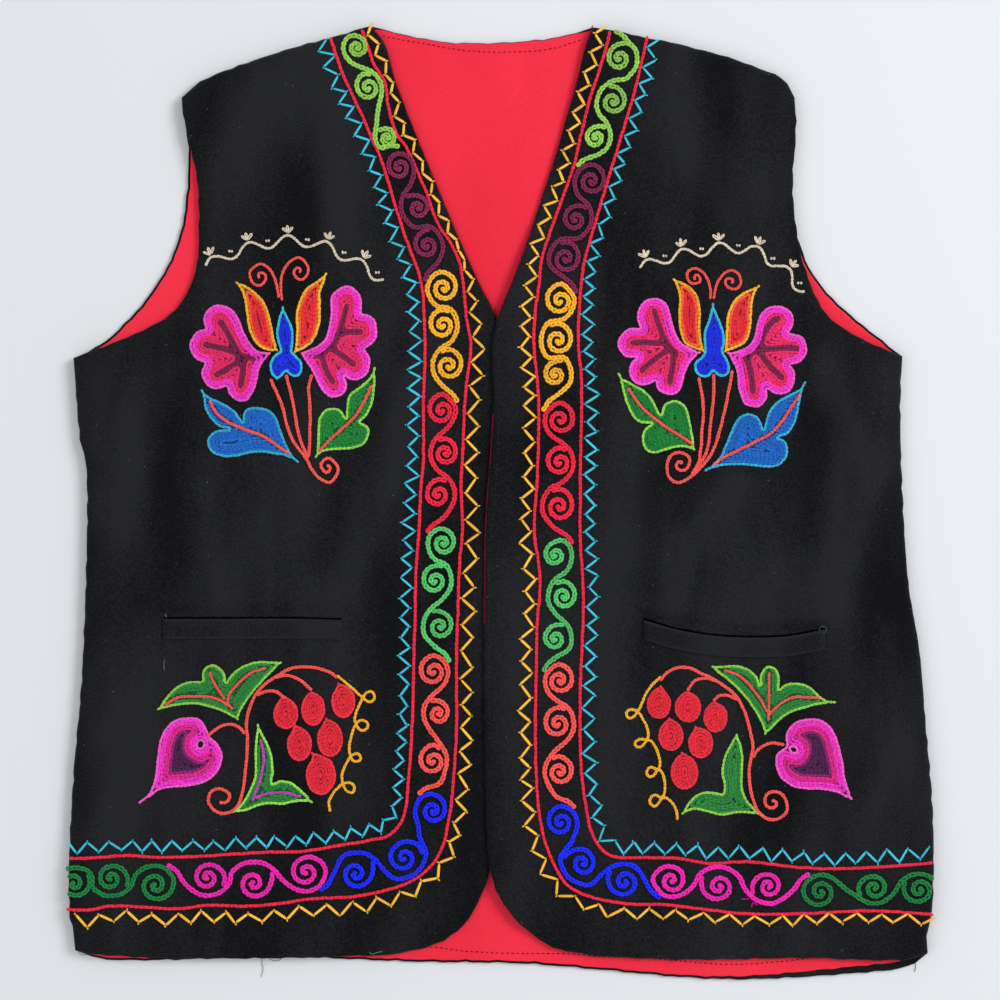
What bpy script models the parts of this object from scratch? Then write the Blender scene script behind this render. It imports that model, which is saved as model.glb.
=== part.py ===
# Embroidered folk vest, laid flat on a surface with its fronts closed.
# Metres. +Y runs from the hem to the neck and +Z up from the surface.
# Left and right are the wearer's, so the wearer's right front lies at -X.
# Every outline is a paper pattern in millimetres, one row for each point that shapes it.

import math

import bpy
import bmesh
from mathutils import Vector
from mathutils.geometry import delaunay_2d_cdt

MM = 0.001

# Cloth and seams
VELVET = 1.6 * MM
LINING = 1.0 * MM
SEAM_GAP = 0.3 * MM
LINING_INSET = 2.0 * MM
WELT = 1.2 * MM

# The sewn side and shoulder seams roll over from the back to the front in a half round
FOLD_RADIUS = 4.35 * MM

# Height of the fronts' pile away from the seams, and how far a seam lifts them
FRONT_HEIGHT = 7.0 * MM
SEAM_REACH = 42 * MM

# The left front laps over the right one: it rises between these two X positions
LAP_LIFT = 3.5 * MM
LAP_STARTS = 24 * MM
LAP_FULL = 8 * MM

# Fineness
OUTLINE_STEP = 19 * MM
CORNER_STEP = 8 * MM
FRONT_GRID = (LAP_STARTS - LAP_FULL, 19 * MM)
BACK_GRID = (75 * MM, 75 * MM)
SHELL_EDGE_STEPS = 3
LINING_EDGE_STEPS = 2
HALF_REACH = 330 * MM
BLUNT_EDGE = math.radians(12)

# Points that several outlines share (x, y)
RIGHT_NECK = (-82, 300)
LEFT_NECK = (58, 300)
RIGHT_TIP = (-201, 255)
LEFT_TIP = (185, 255)
RIGHT_UNDERARM = (-269, 91)
LEFT_UNDERARM = (253, 92)
RIGHT_HEM_CORNER = (-266, -281)
LEFT_HEM_CORNER = (269, -283)

# Outlines from point to point, each row (x, y)
RIGHT_SHOULDER = [
    RIGHT_NECK,
    (-107, 293),
    (-136, 285),
    (-179, 270),
    (-194, 262),
    RIGHT_TIP,
]
LEFT_SHOULDER = [
    LEFT_NECK,
    (92, 293),
    (128, 285),
    (173, 270),
    (181, 264),
    LEFT_TIP,
]
RIGHT_SIDE = [
    RIGHT_UNDERARM,
    (-267, 62),
    (-265, 40),
    (-261, 22),
    (-261, -36),
    (-264, -112),
    (-269, -170),
    (-272, -230),
    RIGHT_HEM_CORNER,
]
LEFT_SIDE = [
    LEFT_UNDERARM,
    (252, 60),
    (253, 14),
    (257, -50),
    (264, -93),
    (268, -140),
    (272, -187),
    (273, -230),
    LEFT_HEM_CORNER,
]
RIGHT_FRONT_ARMHOLE = [
    RIGHT_TIP,
    (-198, 235),
    (-191, 203),
    (-190, 170),
    (-192, 146),
    (-204, 122),
    (-220, 111),
    (-240, 102),
    RIGHT_UNDERARM,
]
LEFT_FRONT_ARMHOLE = [
    LEFT_TIP,
    (186, 235),
    (184, 200),
    (187, 168),
    (194, 141),
    (205, 119),
    (226, 104),
    LEFT_UNDERARM,
]
RIGHT_BACK_ARMHOLE = [
    RIGHT_TIP,
    (-198, 235),
    (-197, 213),
    (-200, 180),
    (-208, 153),
    (-224, 128),
    (-248, 103),
    RIGHT_UNDERARM,
]
LEFT_BACK_ARMHOLE = [
    LEFT_TIP,
    (186, 235),
    (184, 205),
    (188, 167),
    (200, 140),
    (225, 115),
    (241, 102),
    LEFT_UNDERARM,
]
BACK_NECK = [
    LEFT_NECK,
    (37, 294),
    (12, 291),
    (-13, 290),
    (-38, 291),
    (-63, 296),
    RIGHT_NECK,
]
BACK_HEM = [
    RIGHT_HEM_CORNER,
    (-253, -288),
    (-220, -289),
    (-140, -287),
    (-51, -290),
    (12, -291),
    (63, -295),
    (119, -300),
    (160, -301),
    (226, -297),
    (257, -293),
    LEFT_HEM_CORNER,
]

# Front edges run from the neck point down the V, the opening and round the cutaway corner
RIGHT_NECKLINE = [
    RIGHT_NECK,
    (-73, 288),
    (-66, 264),
    (-43, 206),
    (-17, 145),
    (0, 112),
]
RIGHT_OPENING = [
    (0, 112),
    (3, 60),
    (2, -11),
    (-2, -120),
    (-5, -205),
]
RIGHT_CUTAWAY = [
    (-5, -205),
    (-7, -232),
    (-12, -247),
    (-20, -262),
    (-31, -273),
    (-46, -280),
    (-70, -285),
]
RIGHT_HEM = [
    (-70, -285),
    (-140, -287),
    (-210, -287),
    (-247, -285),
    RIGHT_HEM_CORNER,
]
LEFT_NECKLINE = [
    LEFT_NECK,
    (54, 288),
    (48, 264),
    (31, 206),
    (10, 145),
    (-2, 116),
]
LEFT_OPENING = [
    (-2, 116),
    (-5, 100),
    (-4, 60),
    (-9, -10),
    (-10, -110),
    (-9, -190),
]
LEFT_CUTAWAY = [
    (-9, -190),
    (-7, -228),
    (-3, -243),
    (5, -257),
    (17, -269),
    (33, -280),
    (60, -286),
]
LEFT_HEM = [
    (60, -286),
    (120, -288),
    (190, -287),
    (252, -288),
    LEFT_HEM_CORNER,
]

# Pocket welts: the slit's line (x, y) and how far the band reaches below it
RIGHT_SLIT = [(-213, -71), (-175, -70), (-138, -70), (-100, -71)]
LEFT_SLIT = [(90, -73), (119, -80), (148, -84), (176, -83), (205, -80)]
WELT_DEPTH = 12.5 * MM
WELT_STEPS = 12
WELT_ROWS = 2

# Soft folds pressed into the fronts, each row
# (start x, start y, end x, end y, half width, height); a negative height is a trough
RIGHT_FOLDS = [
    (-106, 250, -98, 165, 13, 1.1),
    (-150, 262, -178, 190, 16, 0.9),
    (-232, 55, -240, -10, 14, 1.0),
    (-206, 40, -222, -60, 15, -0.7),
    (-60, 70, -98, -60, 13, 1.3),
    (-78, 60, -120, -40, 12, -0.6),
    (-150, -15, -205, -110, 18, 0.7),
    (-60, -110, -85, -185, 14, 0.8),
    (-215, -150, -250, -210, 16, 0.9),
]
LEFT_FOLDS = [
    (206, 84, 226, 20, 13, 1.6),
    (226, 20, 206, -62, 15, 2.0),
    (243, 80, 246, 25, 11, 1.0),
    (196, 50, 190, -20, 15, -0.9),
    (150, 12, 116, -30, 12, 1.5),
    (116, -30, 108, -66, 12, 1.5),
    (96, 15, 84, -50, 13, -0.8),
    (240, -80, 243, -150, 13, 1.0),
    (246, -155, 228, -212, 12, 0.9),
    (110, 240, 150, 200, 22, 0.6),
]

# Each piece's colour and roughness
COLOURS = {
    "velvet": ((0.006, 0.006, 0.007), 0.9),
    "velvet_welt": ((0.008, 0.008, 0.009), 0.9),
    "red_cotton": ((0.65, 0.012, 0.025), 0.75),
}


def clear_scene():
    for item in list(bpy.data.objects):
        bpy.data.objects.remove(item, do_unlink=True)


def material(name):
    colour, roughness = COLOURS[name]
    cloth = bpy.data.materials.get(name) or bpy.data.materials.new(name)
    cloth.use_nodes = True
    shader = cloth.node_tree.nodes["Principled BSDF"]
    shader.inputs["Base Color"].default_value = (*colour, 1)
    shader.inputs["Roughness"].default_value = roughness
    shader.inputs["Metallic"].default_value = 0
    return cloth


def smooth_curve(rows, step):
    """Points about one step apart along the smooth curve through the rows."""
    knots = [Vector(row) * MM for row in rows]
    chords = [(b - a).length for a, b in zip(knots, knots[1:])]
    slopes = [(knots[1] - knots[0]) / chords[0]]
    for i in range(1, len(knots) - 1):
        slopes.append((knots[i + 1] - knots[i - 1]) / (chords[i - 1] + chords[i]))
    slopes.append((knots[-1] - knots[-2]) / chords[-1])
    points = []
    for i, chord in enumerate(chords):
        count = max(1, round(chord / step))
        for part in range(count):
            t = part / count
            points.append(
                knots[i] * (2 * t**3 - 3 * t**2 + 1)
                + slopes[i] * chord * (t**3 - 2 * t**2 + t)
                + knots[i + 1] * (3 * t**2 - 2 * t**3)
                + slopes[i + 1] * chord * (t**3 - t**2)
            )
    points.append(knots[-1])
    return points


class Outline:
    """A closed, counter-clockwise outline that knows which of its points lie on a sewn seam."""

    def __init__(self, edges):
        self.points = []
        self.sewn = []
        for rows, is_sewn, step in edges:
            stretch = smooth_curve(rows, step)
            if self.sewn:
                self.sewn[-1] = self.sewn[-1] or is_sewn
            else:
                self.points.append(stretch[0])
                self.sewn.append(is_sewn)
            self.points += stretch[1:]
            self.sewn += [is_sewn] * (len(stretch) - 1)
        self.sewn[0] = self.sewn[0] or self.sewn[-1]
        self.points.pop()
        self.sewn.pop()
        self.inward = self.miters()

    def miters(self):
        """For each point, the step that moves both of its edges inward by one unit."""
        result = []
        count = len(self.points)
        for i, point in enumerate(self.points):
            before = (point - self.points[i - 1]).normalized()
            after = (self.points[(i + 1) % count] - point).normalized()
            first = Vector((-before.y, before.x))
            second = Vector((-after.y, after.x))
            middle = (first + second).normalized()
            result.append(middle / max(0.6, middle.dot(first)))
        return result

    def seam_distance(self, spot):
        """How far a spot lies from the nearest sewn seam."""
        nearest = 1.0
        count = len(self.points)
        for i in range(count):
            after = (i + 1) % count
            if self.sewn[i] and self.sewn[after]:
                gap = segment_distance(spot, self.points[i], self.points[after])
                nearest = min(nearest, gap)
        return nearest


def segment_distance(spot, start, end):
    along = end - start
    t = max(0.0, min(1.0, (spot - start).dot(along) / along.length_squared))
    return (start + along * t - spot).length


def smooth_step(value):
    value = max(0.0, min(1.0, value))
    return value * value * (3 - 2 * value)


def fold_height(spot, folds):
    """The sum of the soft folds at a spot: each is a ridge that fades to its sides and ends."""
    total = 0.0
    for start_x, start_y, end_x, end_y, half_width, height in folds:
        start = Vector((start_x, start_y)) * MM
        end = Vector((end_x, end_y)) * MM
        gap = segment_distance(spot, start, end) / (half_width * MM)
        total += height * MM * math.exp(-gap * gap)
    return total


class Front:
    """The height of a front's pile side, laid over the back."""

    def __init__(self, outline, folds, laps):
        self.outline = outline
        self.folds = folds
        self.laps = laps
        self.seam_level = FOLD_RADIUS + SEAM_GAP / 2

    def face(self, spot, depth):
        gap = max(0.0, self.outline.seam_distance(spot) - FOLD_RADIUS)
        lift = math.exp(-((gap / SEAM_REACH) ** 2))
        height = FRONT_HEIGHT + (2 * FOLD_RADIUS - FRONT_HEIGHT) * lift
        height += fold_height(spot, self.folds) * smooth_step(gap / (12 * MM))
        if self.laps:
            height += LAP_LIFT * smooth_step((LAP_STARTS - spot.x) / (LAP_STARTS - LAP_FULL))
        return height - depth


class Back:
    """The back lies flat on the surface with its pile side down."""

    def __init__(self, outline):
        self.outline = outline
        self.seam_level = FOLD_RADIUS - SEAM_GAP / 2

    def face(self, spot, depth):
        return depth


def edge_point(panel, index, turn, depth, middle, half, inset):
    """A point on a panel's rounded edge; turn runs from 0 at the outline to 1 on the flat."""
    outline = panel.outline
    if outline.sewn[index]:
        angle = turn * math.pi / 2
        inward = FOLD_RADIUS - (FOLD_RADIUS - depth) * math.cos(angle)
    else:
        angle = BLUNT_EDGE + turn * (math.pi / 2 - BLUNT_EDGE)
        inward = inset + half * (1 - math.cos(angle))
    spot = outline.points[index] + outline.inward[index] * inward
    face = panel.face(spot, depth)
    level = panel.seam_level if outline.sewn[index] else panel.face(spot, middle)
    return Vector((spot.x, spot.y, level + (face - level) * math.sin(angle)))


def is_inside(spot, ring):
    inside = False
    for i, a in enumerate(ring):
        b = ring[i - 1]
        if (a.y > spot.y) != (b.y > spot.y):
            if spot.x < (b.x - a.x) * (spot.y - a.y) / (b.y - a.y) + a.x:
                inside = not inside
    return inside


def ring_distance(spot, ring):
    return min(segment_distance(spot, ring[i - 1], ring[i]) for i in range(len(ring)))


def grid_spots(panel, spacing, wanted=()):
    """Grid points well inside a panel, with the wanted points, which push the grid aside."""
    outline = panel.outline
    margin = LINING_INSET + LINING / 2
    ring = [spot + step * margin for spot, step in zip(outline.points, outline.inward)]
    spots = [spot for spot in wanted if is_inside(spot, ring)]
    step_x, step_y = spacing
    clear = 0.5 * min(spacing)
    columns = range(math.floor(-HALF_REACH / step_x), math.ceil(HALF_REACH / step_x))
    rows = range(math.floor(-HALF_REACH / step_y), math.ceil(HALF_REACH / step_y))
    for row in rows:
        for column in columns:
            spot = Vector((LAP_FULL + column * step_x, row * step_y))
            if any((spot - other).length < clear for other in wanted):
                continue
            if is_inside(spot, ring) and ring_distance(spot, ring) > clear:
                spots.append(spot)
    return spots


def cloth_layer(name, panel, spots, cloth):
    """One wall of cloth through the spots: its near face lies at depth below the garment's face."""
    depth, thickness, inset, steps, finish = cloth
    outline = panel.outline
    far = depth + thickness
    half = thickness / 2
    middle = depth + half
    count = len(outline.points)
    mesh = bmesh.new()
    near_rings, far_rings = [], []
    for rings, side in ((near_rings, depth), (far_rings, far)):
        for k in range(steps + 1):
            ring = [edge_point(panel, i, k / steps, side, middle, half, inset) for i in range(count)]
            rings.append([mesh.verts.new(point) for point in ring])
    near_all = near_rings[-1] + [mesh.verts.new((*spot, panel.face(spot, depth))) for spot in spots]
    far_all = far_rings[-1] + [mesh.verts.new((*spot, panel.face(spot, far))) for spot in spots]

    flat_ring = [vertex.co.to_2d() for vertex in near_rings[-1]]
    border = [list(range(count))]
    filled = delaunay_2d_cdt(flat_ring + spots, [], border, 1, 1e-7)
    triangles, sources = filled[2], filled[3]
    for triangle in triangles:
        mesh.faces.new([near_all[sources[i][0]] for i in triangle])
        mesh.faces.new([far_all[sources[i][0]] for i in reversed(triangle)])
    for outer, inner in zip(near_rings, near_rings[1:]):
        add_band(mesh, outer, inner, False)
    for outer, inner in zip(far_rings, far_rings[1:]):
        add_band(mesh, outer, inner, True)
    add_band(mesh, far_rings[0], near_rings[0], False)
    return finish_piece(name, mesh, finish)


def add_band(mesh, outer, inner, flip):
    count = len(outer)
    for i in range(count):
        j = (i + 1) % count
        quad = [outer[i], outer[j], inner[j], inner[i]]
        mesh.faces.new(reversed(quad) if flip else quad)


def finish_piece(name, mesh, finish):
    bmesh.ops.recalc_face_normals(mesh, faces=mesh.faces)
    bmesh.ops.triangulate(mesh, faces=[face for face in mesh.faces if len(face.verts) > 3])
    data = bpy.data.meshes.new(name)
    mesh.to_mesh(data)
    mesh.free()
    if signed_volume(data) < 0:
        data.flip_normals()
    data.materials.append(material(finish))
    data.shade_smooth()
    data.set_sharp_from_angle(angle=math.radians(40))
    piece = bpy.data.objects.new(name, data)
    bpy.context.collection.objects.link(piece)
    return piece


def signed_volume(data):
    total = 0.0
    for face in data.polygons:
        a, b, c = (data.vertices[i].co for i in face.vertices)
        total += a.dot(b.cross(c)) / 6
    return total


def welt_rows(slit):
    """The welt's points in rows from the slit downward."""
    line = smooth_curve(slit, 1.0)
    length = line[-1].x - line[0].x
    fine = smooth_curve(slit, 1.0 * MM)
    top = []
    for step in range(WELT_STEPS + 1):
        x = line[0].x + length * step / WELT_STEPS
        top.append(min(fine, key=lambda point: abs(point.x - x)))
    rows = []
    for row in range(WELT_ROWS + 1):
        drop = Vector((0, WELT_DEPTH * row / WELT_ROWS))
        rows.append([point - drop for point in top])
    return rows


def pocket_welt(name, panel, rows, finish):
    """A sewn band made from the front's own points, moved out by the seam gap."""
    mesh = bmesh.new()
    last = len(rows[0]) - 1
    levels = []
    for rise in (SEAM_GAP, SEAM_GAP + WELT):
        level = []
        for row in rows:
            level.append([mesh.verts.new((*spot, panel.face(spot, -rise))) for spot in row])
        levels.append(level)
    for side, level in enumerate(levels):
        for row, below in zip(level, level[1:]):
            for i in range(last):
                quad = [row[i], below[i], below[i + 1], row[i + 1]]
                mesh.faces.new(quad if side else reversed(quad))
    low, high = levels
    for row in (0, -1):
        for i in range(last):
            mesh.faces.new([low[row][i], low[row][i + 1], high[row][i + 1], high[row][i]])
    for end in (0, last):
        for row in range(len(rows) - 1):
            mesh.faces.new([low[row][end], low[row + 1][end], high[row + 1][end], high[row][end]])
    return finish_piece(name, mesh, finish)


def build():
    clear_scene()
    right_outline = Outline([
        (RIGHT_SHOULDER, True, OUTLINE_STEP),
        (RIGHT_FRONT_ARMHOLE, False, OUTLINE_STEP),
        (RIGHT_SIDE, True, OUTLINE_STEP),
        (RIGHT_HEM[::-1], False, OUTLINE_STEP),
        (RIGHT_CUTAWAY[::-1], False, CORNER_STEP),
        (RIGHT_OPENING[::-1], False, OUTLINE_STEP),
        (RIGHT_NECKLINE[::-1], False, OUTLINE_STEP),
    ])
    left_outline = Outline([
        (LEFT_NECKLINE, False, OUTLINE_STEP),
        (LEFT_OPENING, False, OUTLINE_STEP),
        (LEFT_CUTAWAY, False, CORNER_STEP),
        (LEFT_HEM, False, OUTLINE_STEP),
        (LEFT_SIDE[::-1], True, OUTLINE_STEP),
        (LEFT_FRONT_ARMHOLE[::-1], False, OUTLINE_STEP),
        (LEFT_SHOULDER[::-1], True, OUTLINE_STEP),
    ])
    back_outline = Outline([
        (BACK_NECK, False, OUTLINE_STEP),
        (RIGHT_SHOULDER, True, OUTLINE_STEP),
        (RIGHT_BACK_ARMHOLE, False, OUTLINE_STEP),
        (RIGHT_SIDE, True, OUTLINE_STEP),
        (BACK_HEM, False, OUTLINE_STEP),
        (LEFT_SIDE[::-1], True, OUTLINE_STEP),
        (LEFT_BACK_ARMHOLE[::-1], False, OUTLINE_STEP),
        (LEFT_SHOULDER[::-1], True, OUTLINE_STEP),
    ])
    shell = (0.0, VELVET, 0.0, SHELL_EDGE_STEPS, "velvet")
    lining = (VELVET + SEAM_GAP, LINING, LINING_INSET, LINING_EDGE_STEPS, "red_cotton")
    back = Back(back_outline)
    spots = grid_spots(back, BACK_GRID)
    cloth_layer("back_shell", back, spots, shell)
    cloth_layer("back_lining", back, spots, lining)
    fronts = [
        ("right", Front(right_outline, RIGHT_FOLDS, laps=False), RIGHT_SLIT),
        ("left", Front(left_outline, LEFT_FOLDS, laps=True), LEFT_SLIT),
    ]
    for side, front, slit in fronts:
        rows = welt_rows(slit)
        spots = grid_spots(front, FRONT_GRID, [spot for row in rows for spot in row])
        cloth_layer(f"{side}_front_shell", front, spots, shell)
        cloth_layer(f"{side}_front_lining", front, spots, lining)
        pocket_welt(f"{side}_pocket_welt", front, rows, "velvet_welt")


build()
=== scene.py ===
# %% [markdown]
# # An embroidered velvet vest, laid flat
# The real vest is black cotton velvet lined with red cotton, and its fronts carry chain
# stitch in bright rayon. The CAD frame already holds the cut of every panel. This lesson
# dresses that frame: finer cloth with turned edges, then every stitch as real thread,
# because thread catches light and casts small shadows that no flat colour can give.

# %% Load the frame
import math

import bpy
import numpy as np
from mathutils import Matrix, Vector
from mathutils.geometry import delaunay_2d_cdt


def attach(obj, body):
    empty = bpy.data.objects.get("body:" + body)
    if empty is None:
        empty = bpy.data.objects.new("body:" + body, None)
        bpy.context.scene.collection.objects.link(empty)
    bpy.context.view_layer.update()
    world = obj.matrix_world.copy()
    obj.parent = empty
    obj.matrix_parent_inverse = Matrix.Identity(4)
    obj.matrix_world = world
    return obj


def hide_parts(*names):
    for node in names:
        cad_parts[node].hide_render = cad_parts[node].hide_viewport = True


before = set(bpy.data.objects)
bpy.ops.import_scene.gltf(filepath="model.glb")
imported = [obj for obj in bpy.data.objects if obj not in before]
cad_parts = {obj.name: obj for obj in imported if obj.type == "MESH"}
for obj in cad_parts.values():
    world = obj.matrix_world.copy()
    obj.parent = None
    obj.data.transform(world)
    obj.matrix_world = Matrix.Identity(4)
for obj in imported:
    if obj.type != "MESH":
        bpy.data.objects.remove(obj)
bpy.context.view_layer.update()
MM = 0.001
rng = np.random.default_rng(7)

# %% [markdown]
# ## Camera and light
# The photograph looks straight down on the vest from a distance. One pixel is 0.63 mm of
# the vest, so the camera's height follows from its lens. A wide soft lamp stands to the
# right, as in the photograph, where the garment's shadow falls to the left.

# %% Camera, floor and lights
PIXEL = 0.63 * MM
PHOTO_MIDDLE = (500.5, 502.5)
LENS = 85
SENSOR = 36
PHOTO_WIDTH = 1000 * PIXEL
CLOTH_LEVEL = 5 * MM


def from_photo(rows):
    """Points on the vest, in metres, from rows (x, y) in the photograph's pixels."""
    return (np.array(rows, float) - PHOTO_MIDDLE) * (PIXEL, -PIXEL)


camera_x, camera_y = from_photo([(500, 500)])[0]
camera_data = bpy.data.cameras.new("camera")
camera_data.lens = LENS
camera_data.sensor_width = SENSOR
camera = bpy.data.objects.new("camera", camera_data)
camera.location = (camera_x, camera_y, CLOTH_LEVEL + PHOTO_WIDTH * LENS / SENSOR)
bpy.context.collection.objects.link(camera)
bpy.context.scene.camera = camera
bpy.context.scene.view_settings.view_transform = "Standard"


def lamp(name, place, size, power):
    """A square area lamp that faces the middle of the vest."""
    data = bpy.data.lights.new(name, "AREA")
    data.size = size
    data.energy = power
    item = bpy.data.objects.new(name, data)
    item.location = place
    item.rotation_euler = (-Vector(place)).to_track_quat("-Z", "Y").to_euler()
    bpy.context.collection.objects.link(item)


lamp("key_lamp", place=(1.9, 0.85, 2.0), size=1.2, power=50)
lamp("fill_lamp", place=(-1.4, -0.6, 1.8), size=1.8, power=9)
world = bpy.data.worlds.new("studio")
world.use_nodes = True
world.node_tree.nodes["Background"].inputs["Color"].default_value = (1, 1, 1, 1)
world.node_tree.nodes["Background"].inputs["Strength"].default_value = 0.62
bpy.context.scene.world = world

FLOOR_SIZE = 6
FLOOR_GAP = 0.5 * MM
bpy.ops.object.select_all(action="DESELECT")
bpy.ops.mesh.primitive_plane_add(size=FLOOR_SIZE, location=(0, 0, -FLOOR_GAP))
floor = bpy.context.object
floor.name = "floor"
floor.data.transform(floor.matrix_world)
floor.matrix_world.identity()
floor_paint = bpy.data.materials.new("pale_floor")
floor_paint.use_nodes = True
floor_shader = floor_paint.node_tree.nodes["Principled BSDF"]
floor_shader.inputs["Base Color"].default_value = (0.70, 0.72, 0.75, 1)
floor_shader.inputs["Roughness"].default_value = 0.9
floor.data.materials.append(floor_paint)
print("camera at", [round(x, 4) for x in camera.location])

# %% [markdown]
# ## Cloth finishes
# Velvet is black but never flat black: its pile leans in patches where hands brushed it,
# and it glows softly where it turns away. That is a sheen over a very dark base, with the
# base colour moved by slow noise, drawn out the way the nap runs. The red cotton has a
# plain weave and soft wear. On both cloths the colour is also painted lighter on the ridges
# of the folds and darker in their troughs: a painted highlight and painted shade.
# The mottling is one node group that both finishes use.


# %% Shared mottling node group
# How far the fold height moves the colour: painted highlight on ridges, painted shade in troughs.
PAINTED_SHADING_SHARE = 0.11
GRAIN_SHARE, PATCH_SHARE = 0.4, 0.6
NAP_STRETCH = (1, 0.3, 1)
DARK_BELOW, LIGHT_ABOVE = 0.41, 0.61


def make_mottle_group():
    """A colour that wanders between two values in slow patches with a fine grain."""
    group = bpy.data.node_groups.new("mottle", "ShaderNodeTree")
    for name, kind in (("Dark", "NodeSocketColor"), ("Light", "NodeSocketColor")):
        group.interface.new_socket(name=name, in_out="INPUT", socket_type=kind)
    for name in ("Patch Scale", "Grain Scale", "Painted Fold Shading"):
        group.interface.new_socket(name=name, in_out="INPUT", socket_type="NodeSocketFloat")
    group.interface.new_socket(name="Color", in_out="OUTPUT", socket_type="NodeSocketColor")
    group.interface.new_socket(name="Grain", in_out="OUTPUT", socket_type="NodeSocketFloat")
    nodes, links = group.nodes, group.links
    entry = nodes.new("NodeGroupInput")
    leave = nodes.new("NodeGroupOutput")
    place = nodes.new("ShaderNodeTexCoord")
    patches = nodes.new("ShaderNodeTexNoise")
    patches.inputs["Detail"].default_value = 3
    grain = nodes.new("ShaderNodeTexNoise")
    grain.inputs["Detail"].default_value = 2
    links.new(entry.outputs["Patch Scale"], patches.inputs["Scale"])
    links.new(entry.outputs["Grain Scale"], grain.inputs["Scale"])
    nap = nodes.new("ShaderNodeVectorMath")
    nap.operation = "MULTIPLY"
    nap.inputs[1].default_value = NAP_STRETCH
    links.new(place.outputs["Object"], nap.inputs[0])
    links.new(nap.outputs["Vector"], patches.inputs["Vector"])
    links.new(place.outputs["Object"], grain.inputs["Vector"])
    blend = nodes.new("ShaderNodeMath")
    blend.operation = "MULTIPLY_ADD"
    blend.inputs[1].default_value = GRAIN_SHARE
    links.new(grain.outputs["Fac"], blend.inputs[0])
    shift = nodes.new("ShaderNodeMath")
    shift.operation = "MULTIPLY"
    shift.inputs[1].default_value = PATCH_SHARE
    links.new(patches.outputs["Fac"], shift.inputs[0])
    links.new(shift.outputs[0], blend.inputs[2])
    # Painted highlight and shade: the fold height pushes the colour lighter on ridges and darker
    # in troughs.
    painted_shading_mix = nodes.new("ShaderNodeMath")
    painted_shading_mix.operation = "MULTIPLY_ADD"
    painted_shading_mix.inputs[1].default_value = PAINTED_SHADING_SHARE
    links.new(entry.outputs["Painted Fold Shading"], painted_shading_mix.inputs[0])
    links.new(blend.outputs[0], painted_shading_mix.inputs[2])
    spread = nodes.new("ShaderNodeMapRange")
    spread.inputs["From Min"].default_value = DARK_BELOW
    spread.inputs["From Max"].default_value = LIGHT_ABOVE
    links.new(painted_shading_mix.outputs[0], spread.inputs["Value"])
    mix = nodes.new("ShaderNodeMix")
    mix.data_type = "RGBA"
    links.new(spread.outputs["Result"], mix.inputs["Factor"])
    links.new(entry.outputs["Dark"], mix.inputs["A"])
    links.new(entry.outputs["Light"], mix.inputs["B"])
    links.new(mix.outputs["Result"], leave.inputs["Color"])
    links.new(grain.outputs["Fac"], leave.inputs["Grain"])
    return group


mottle = make_mottle_group()


def cloth_finish(name, dark, light, scales, roughness, sheen, bump):
    """A woven cloth: mottled colour, a sheen and a fine grain in relief."""
    finish = bpy.data.materials.new(name)
    finish.use_nodes = True
    nodes, links = finish.node_tree.nodes, finish.node_tree.links
    shader = nodes["Principled BSDF"]
    shader.inputs["Roughness"].default_value = roughness
    shader.inputs["Sheen Weight"].default_value = sheen[0]
    shader.inputs["Sheen Roughness"].default_value = sheen[1]
    shader.inputs["Sheen Tint"].default_value = sheen[2]
    shader.inputs["Specular IOR Level"].default_value = 0.15
    group = nodes.new("ShaderNodeGroup")
    group.node_tree = mottle
    group.inputs["Dark"].default_value = (*dark, 1)
    group.inputs["Light"].default_value = (*light, 1)
    group.inputs["Patch Scale"].default_value = scales[0]
    group.inputs["Grain Scale"].default_value = scales[1]
    # The fold height stored on the mesh, read for the painted highlight on ridges and painted
    # shade in troughs.
    painted_fold_shading = nodes.new("ShaderNodeAttribute")
    painted_fold_shading.attribute_name = "painted_fold_shading"
    links.new(painted_fold_shading.outputs["Fac"], group.inputs["Painted Fold Shading"])
    links.new(group.outputs["Color"], shader.inputs["Base Color"])
    relief = nodes.new("ShaderNodeBump")
    relief.inputs["Strength"].default_value = bump
    relief.inputs["Distance"].default_value = 0.4 * MM
    links.new(group.outputs["Grain"], relief.inputs["Height"])
    links.new(relief.outputs["Normal"], shader.inputs["Normal"])
    return finish


velvet = cloth_finish(
    "black_velvet", (0.0016, 0.0018, 0.0025), (0.0128, 0.0134, 0.0158), (20, 800),
    0.95, (0.12, 0.4, (0.72, 0.77, 0.9, 1)), 0.9,
)
cotton = cloth_finish(
    "red_cotton", (0.74, 0.018, 0.042), (0.88, 0.028, 0.06), (9, 1300),
    0.8, (0.1, 0.5, (1, 0.6, 0.6, 1)), 0.35,
)
print("finishes:", velvet.name, cotton.name)

# %% [markdown]
# ## The cut of the panels
# Each panel is drawn as a paper pattern: short rows of points in millimetres, the same as
# in the CAD source, and a smooth curve through them. An edge is either sewn to the other
# panel, where the cloth rolls over, or free, where the velvet is turned in on itself.

# %% Pattern points shared by the panels
RIGHT_NECK = (-82, 300)
LEFT_NECK = (58, 300)
RIGHT_TIP = (-201, 255)
LEFT_TIP = (185, 255)
RIGHT_UNDERARM = (-269, 91)
LEFT_UNDERARM = (253, 92)
RIGHT_HEM_CORNER = (-268.4, -282.5)
LEFT_HEM_CORNER = (269.3, -284)
RIGHT_SHOULDER = [RIGHT_NECK, (-107, 293), (-136, 285), (-179, 270), (-194, 262), RIGHT_TIP]
LEFT_SHOULDER = [LEFT_NECK, (92, 293), (128, 285), (173, 270), (181, 264), LEFT_TIP]
RIGHT_SIDE = [
    RIGHT_UNDERARM, (-267, 62), (-265, 40), (-261, 22), (-261, -36), (-264, -112),
    (-269, -170), (-272, -230), (-271.4, -262), (-268.9, -271), RIGHT_HEM_CORNER,
]
LEFT_SIDE = [
    LEFT_UNDERARM, (252, 60), (253, 14), (257, -50), (264, -93), (268, -140),
    (272, -187), (273, -230), (271.4, -262), (268.4, -273), LEFT_HEM_CORNER,
]

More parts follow.
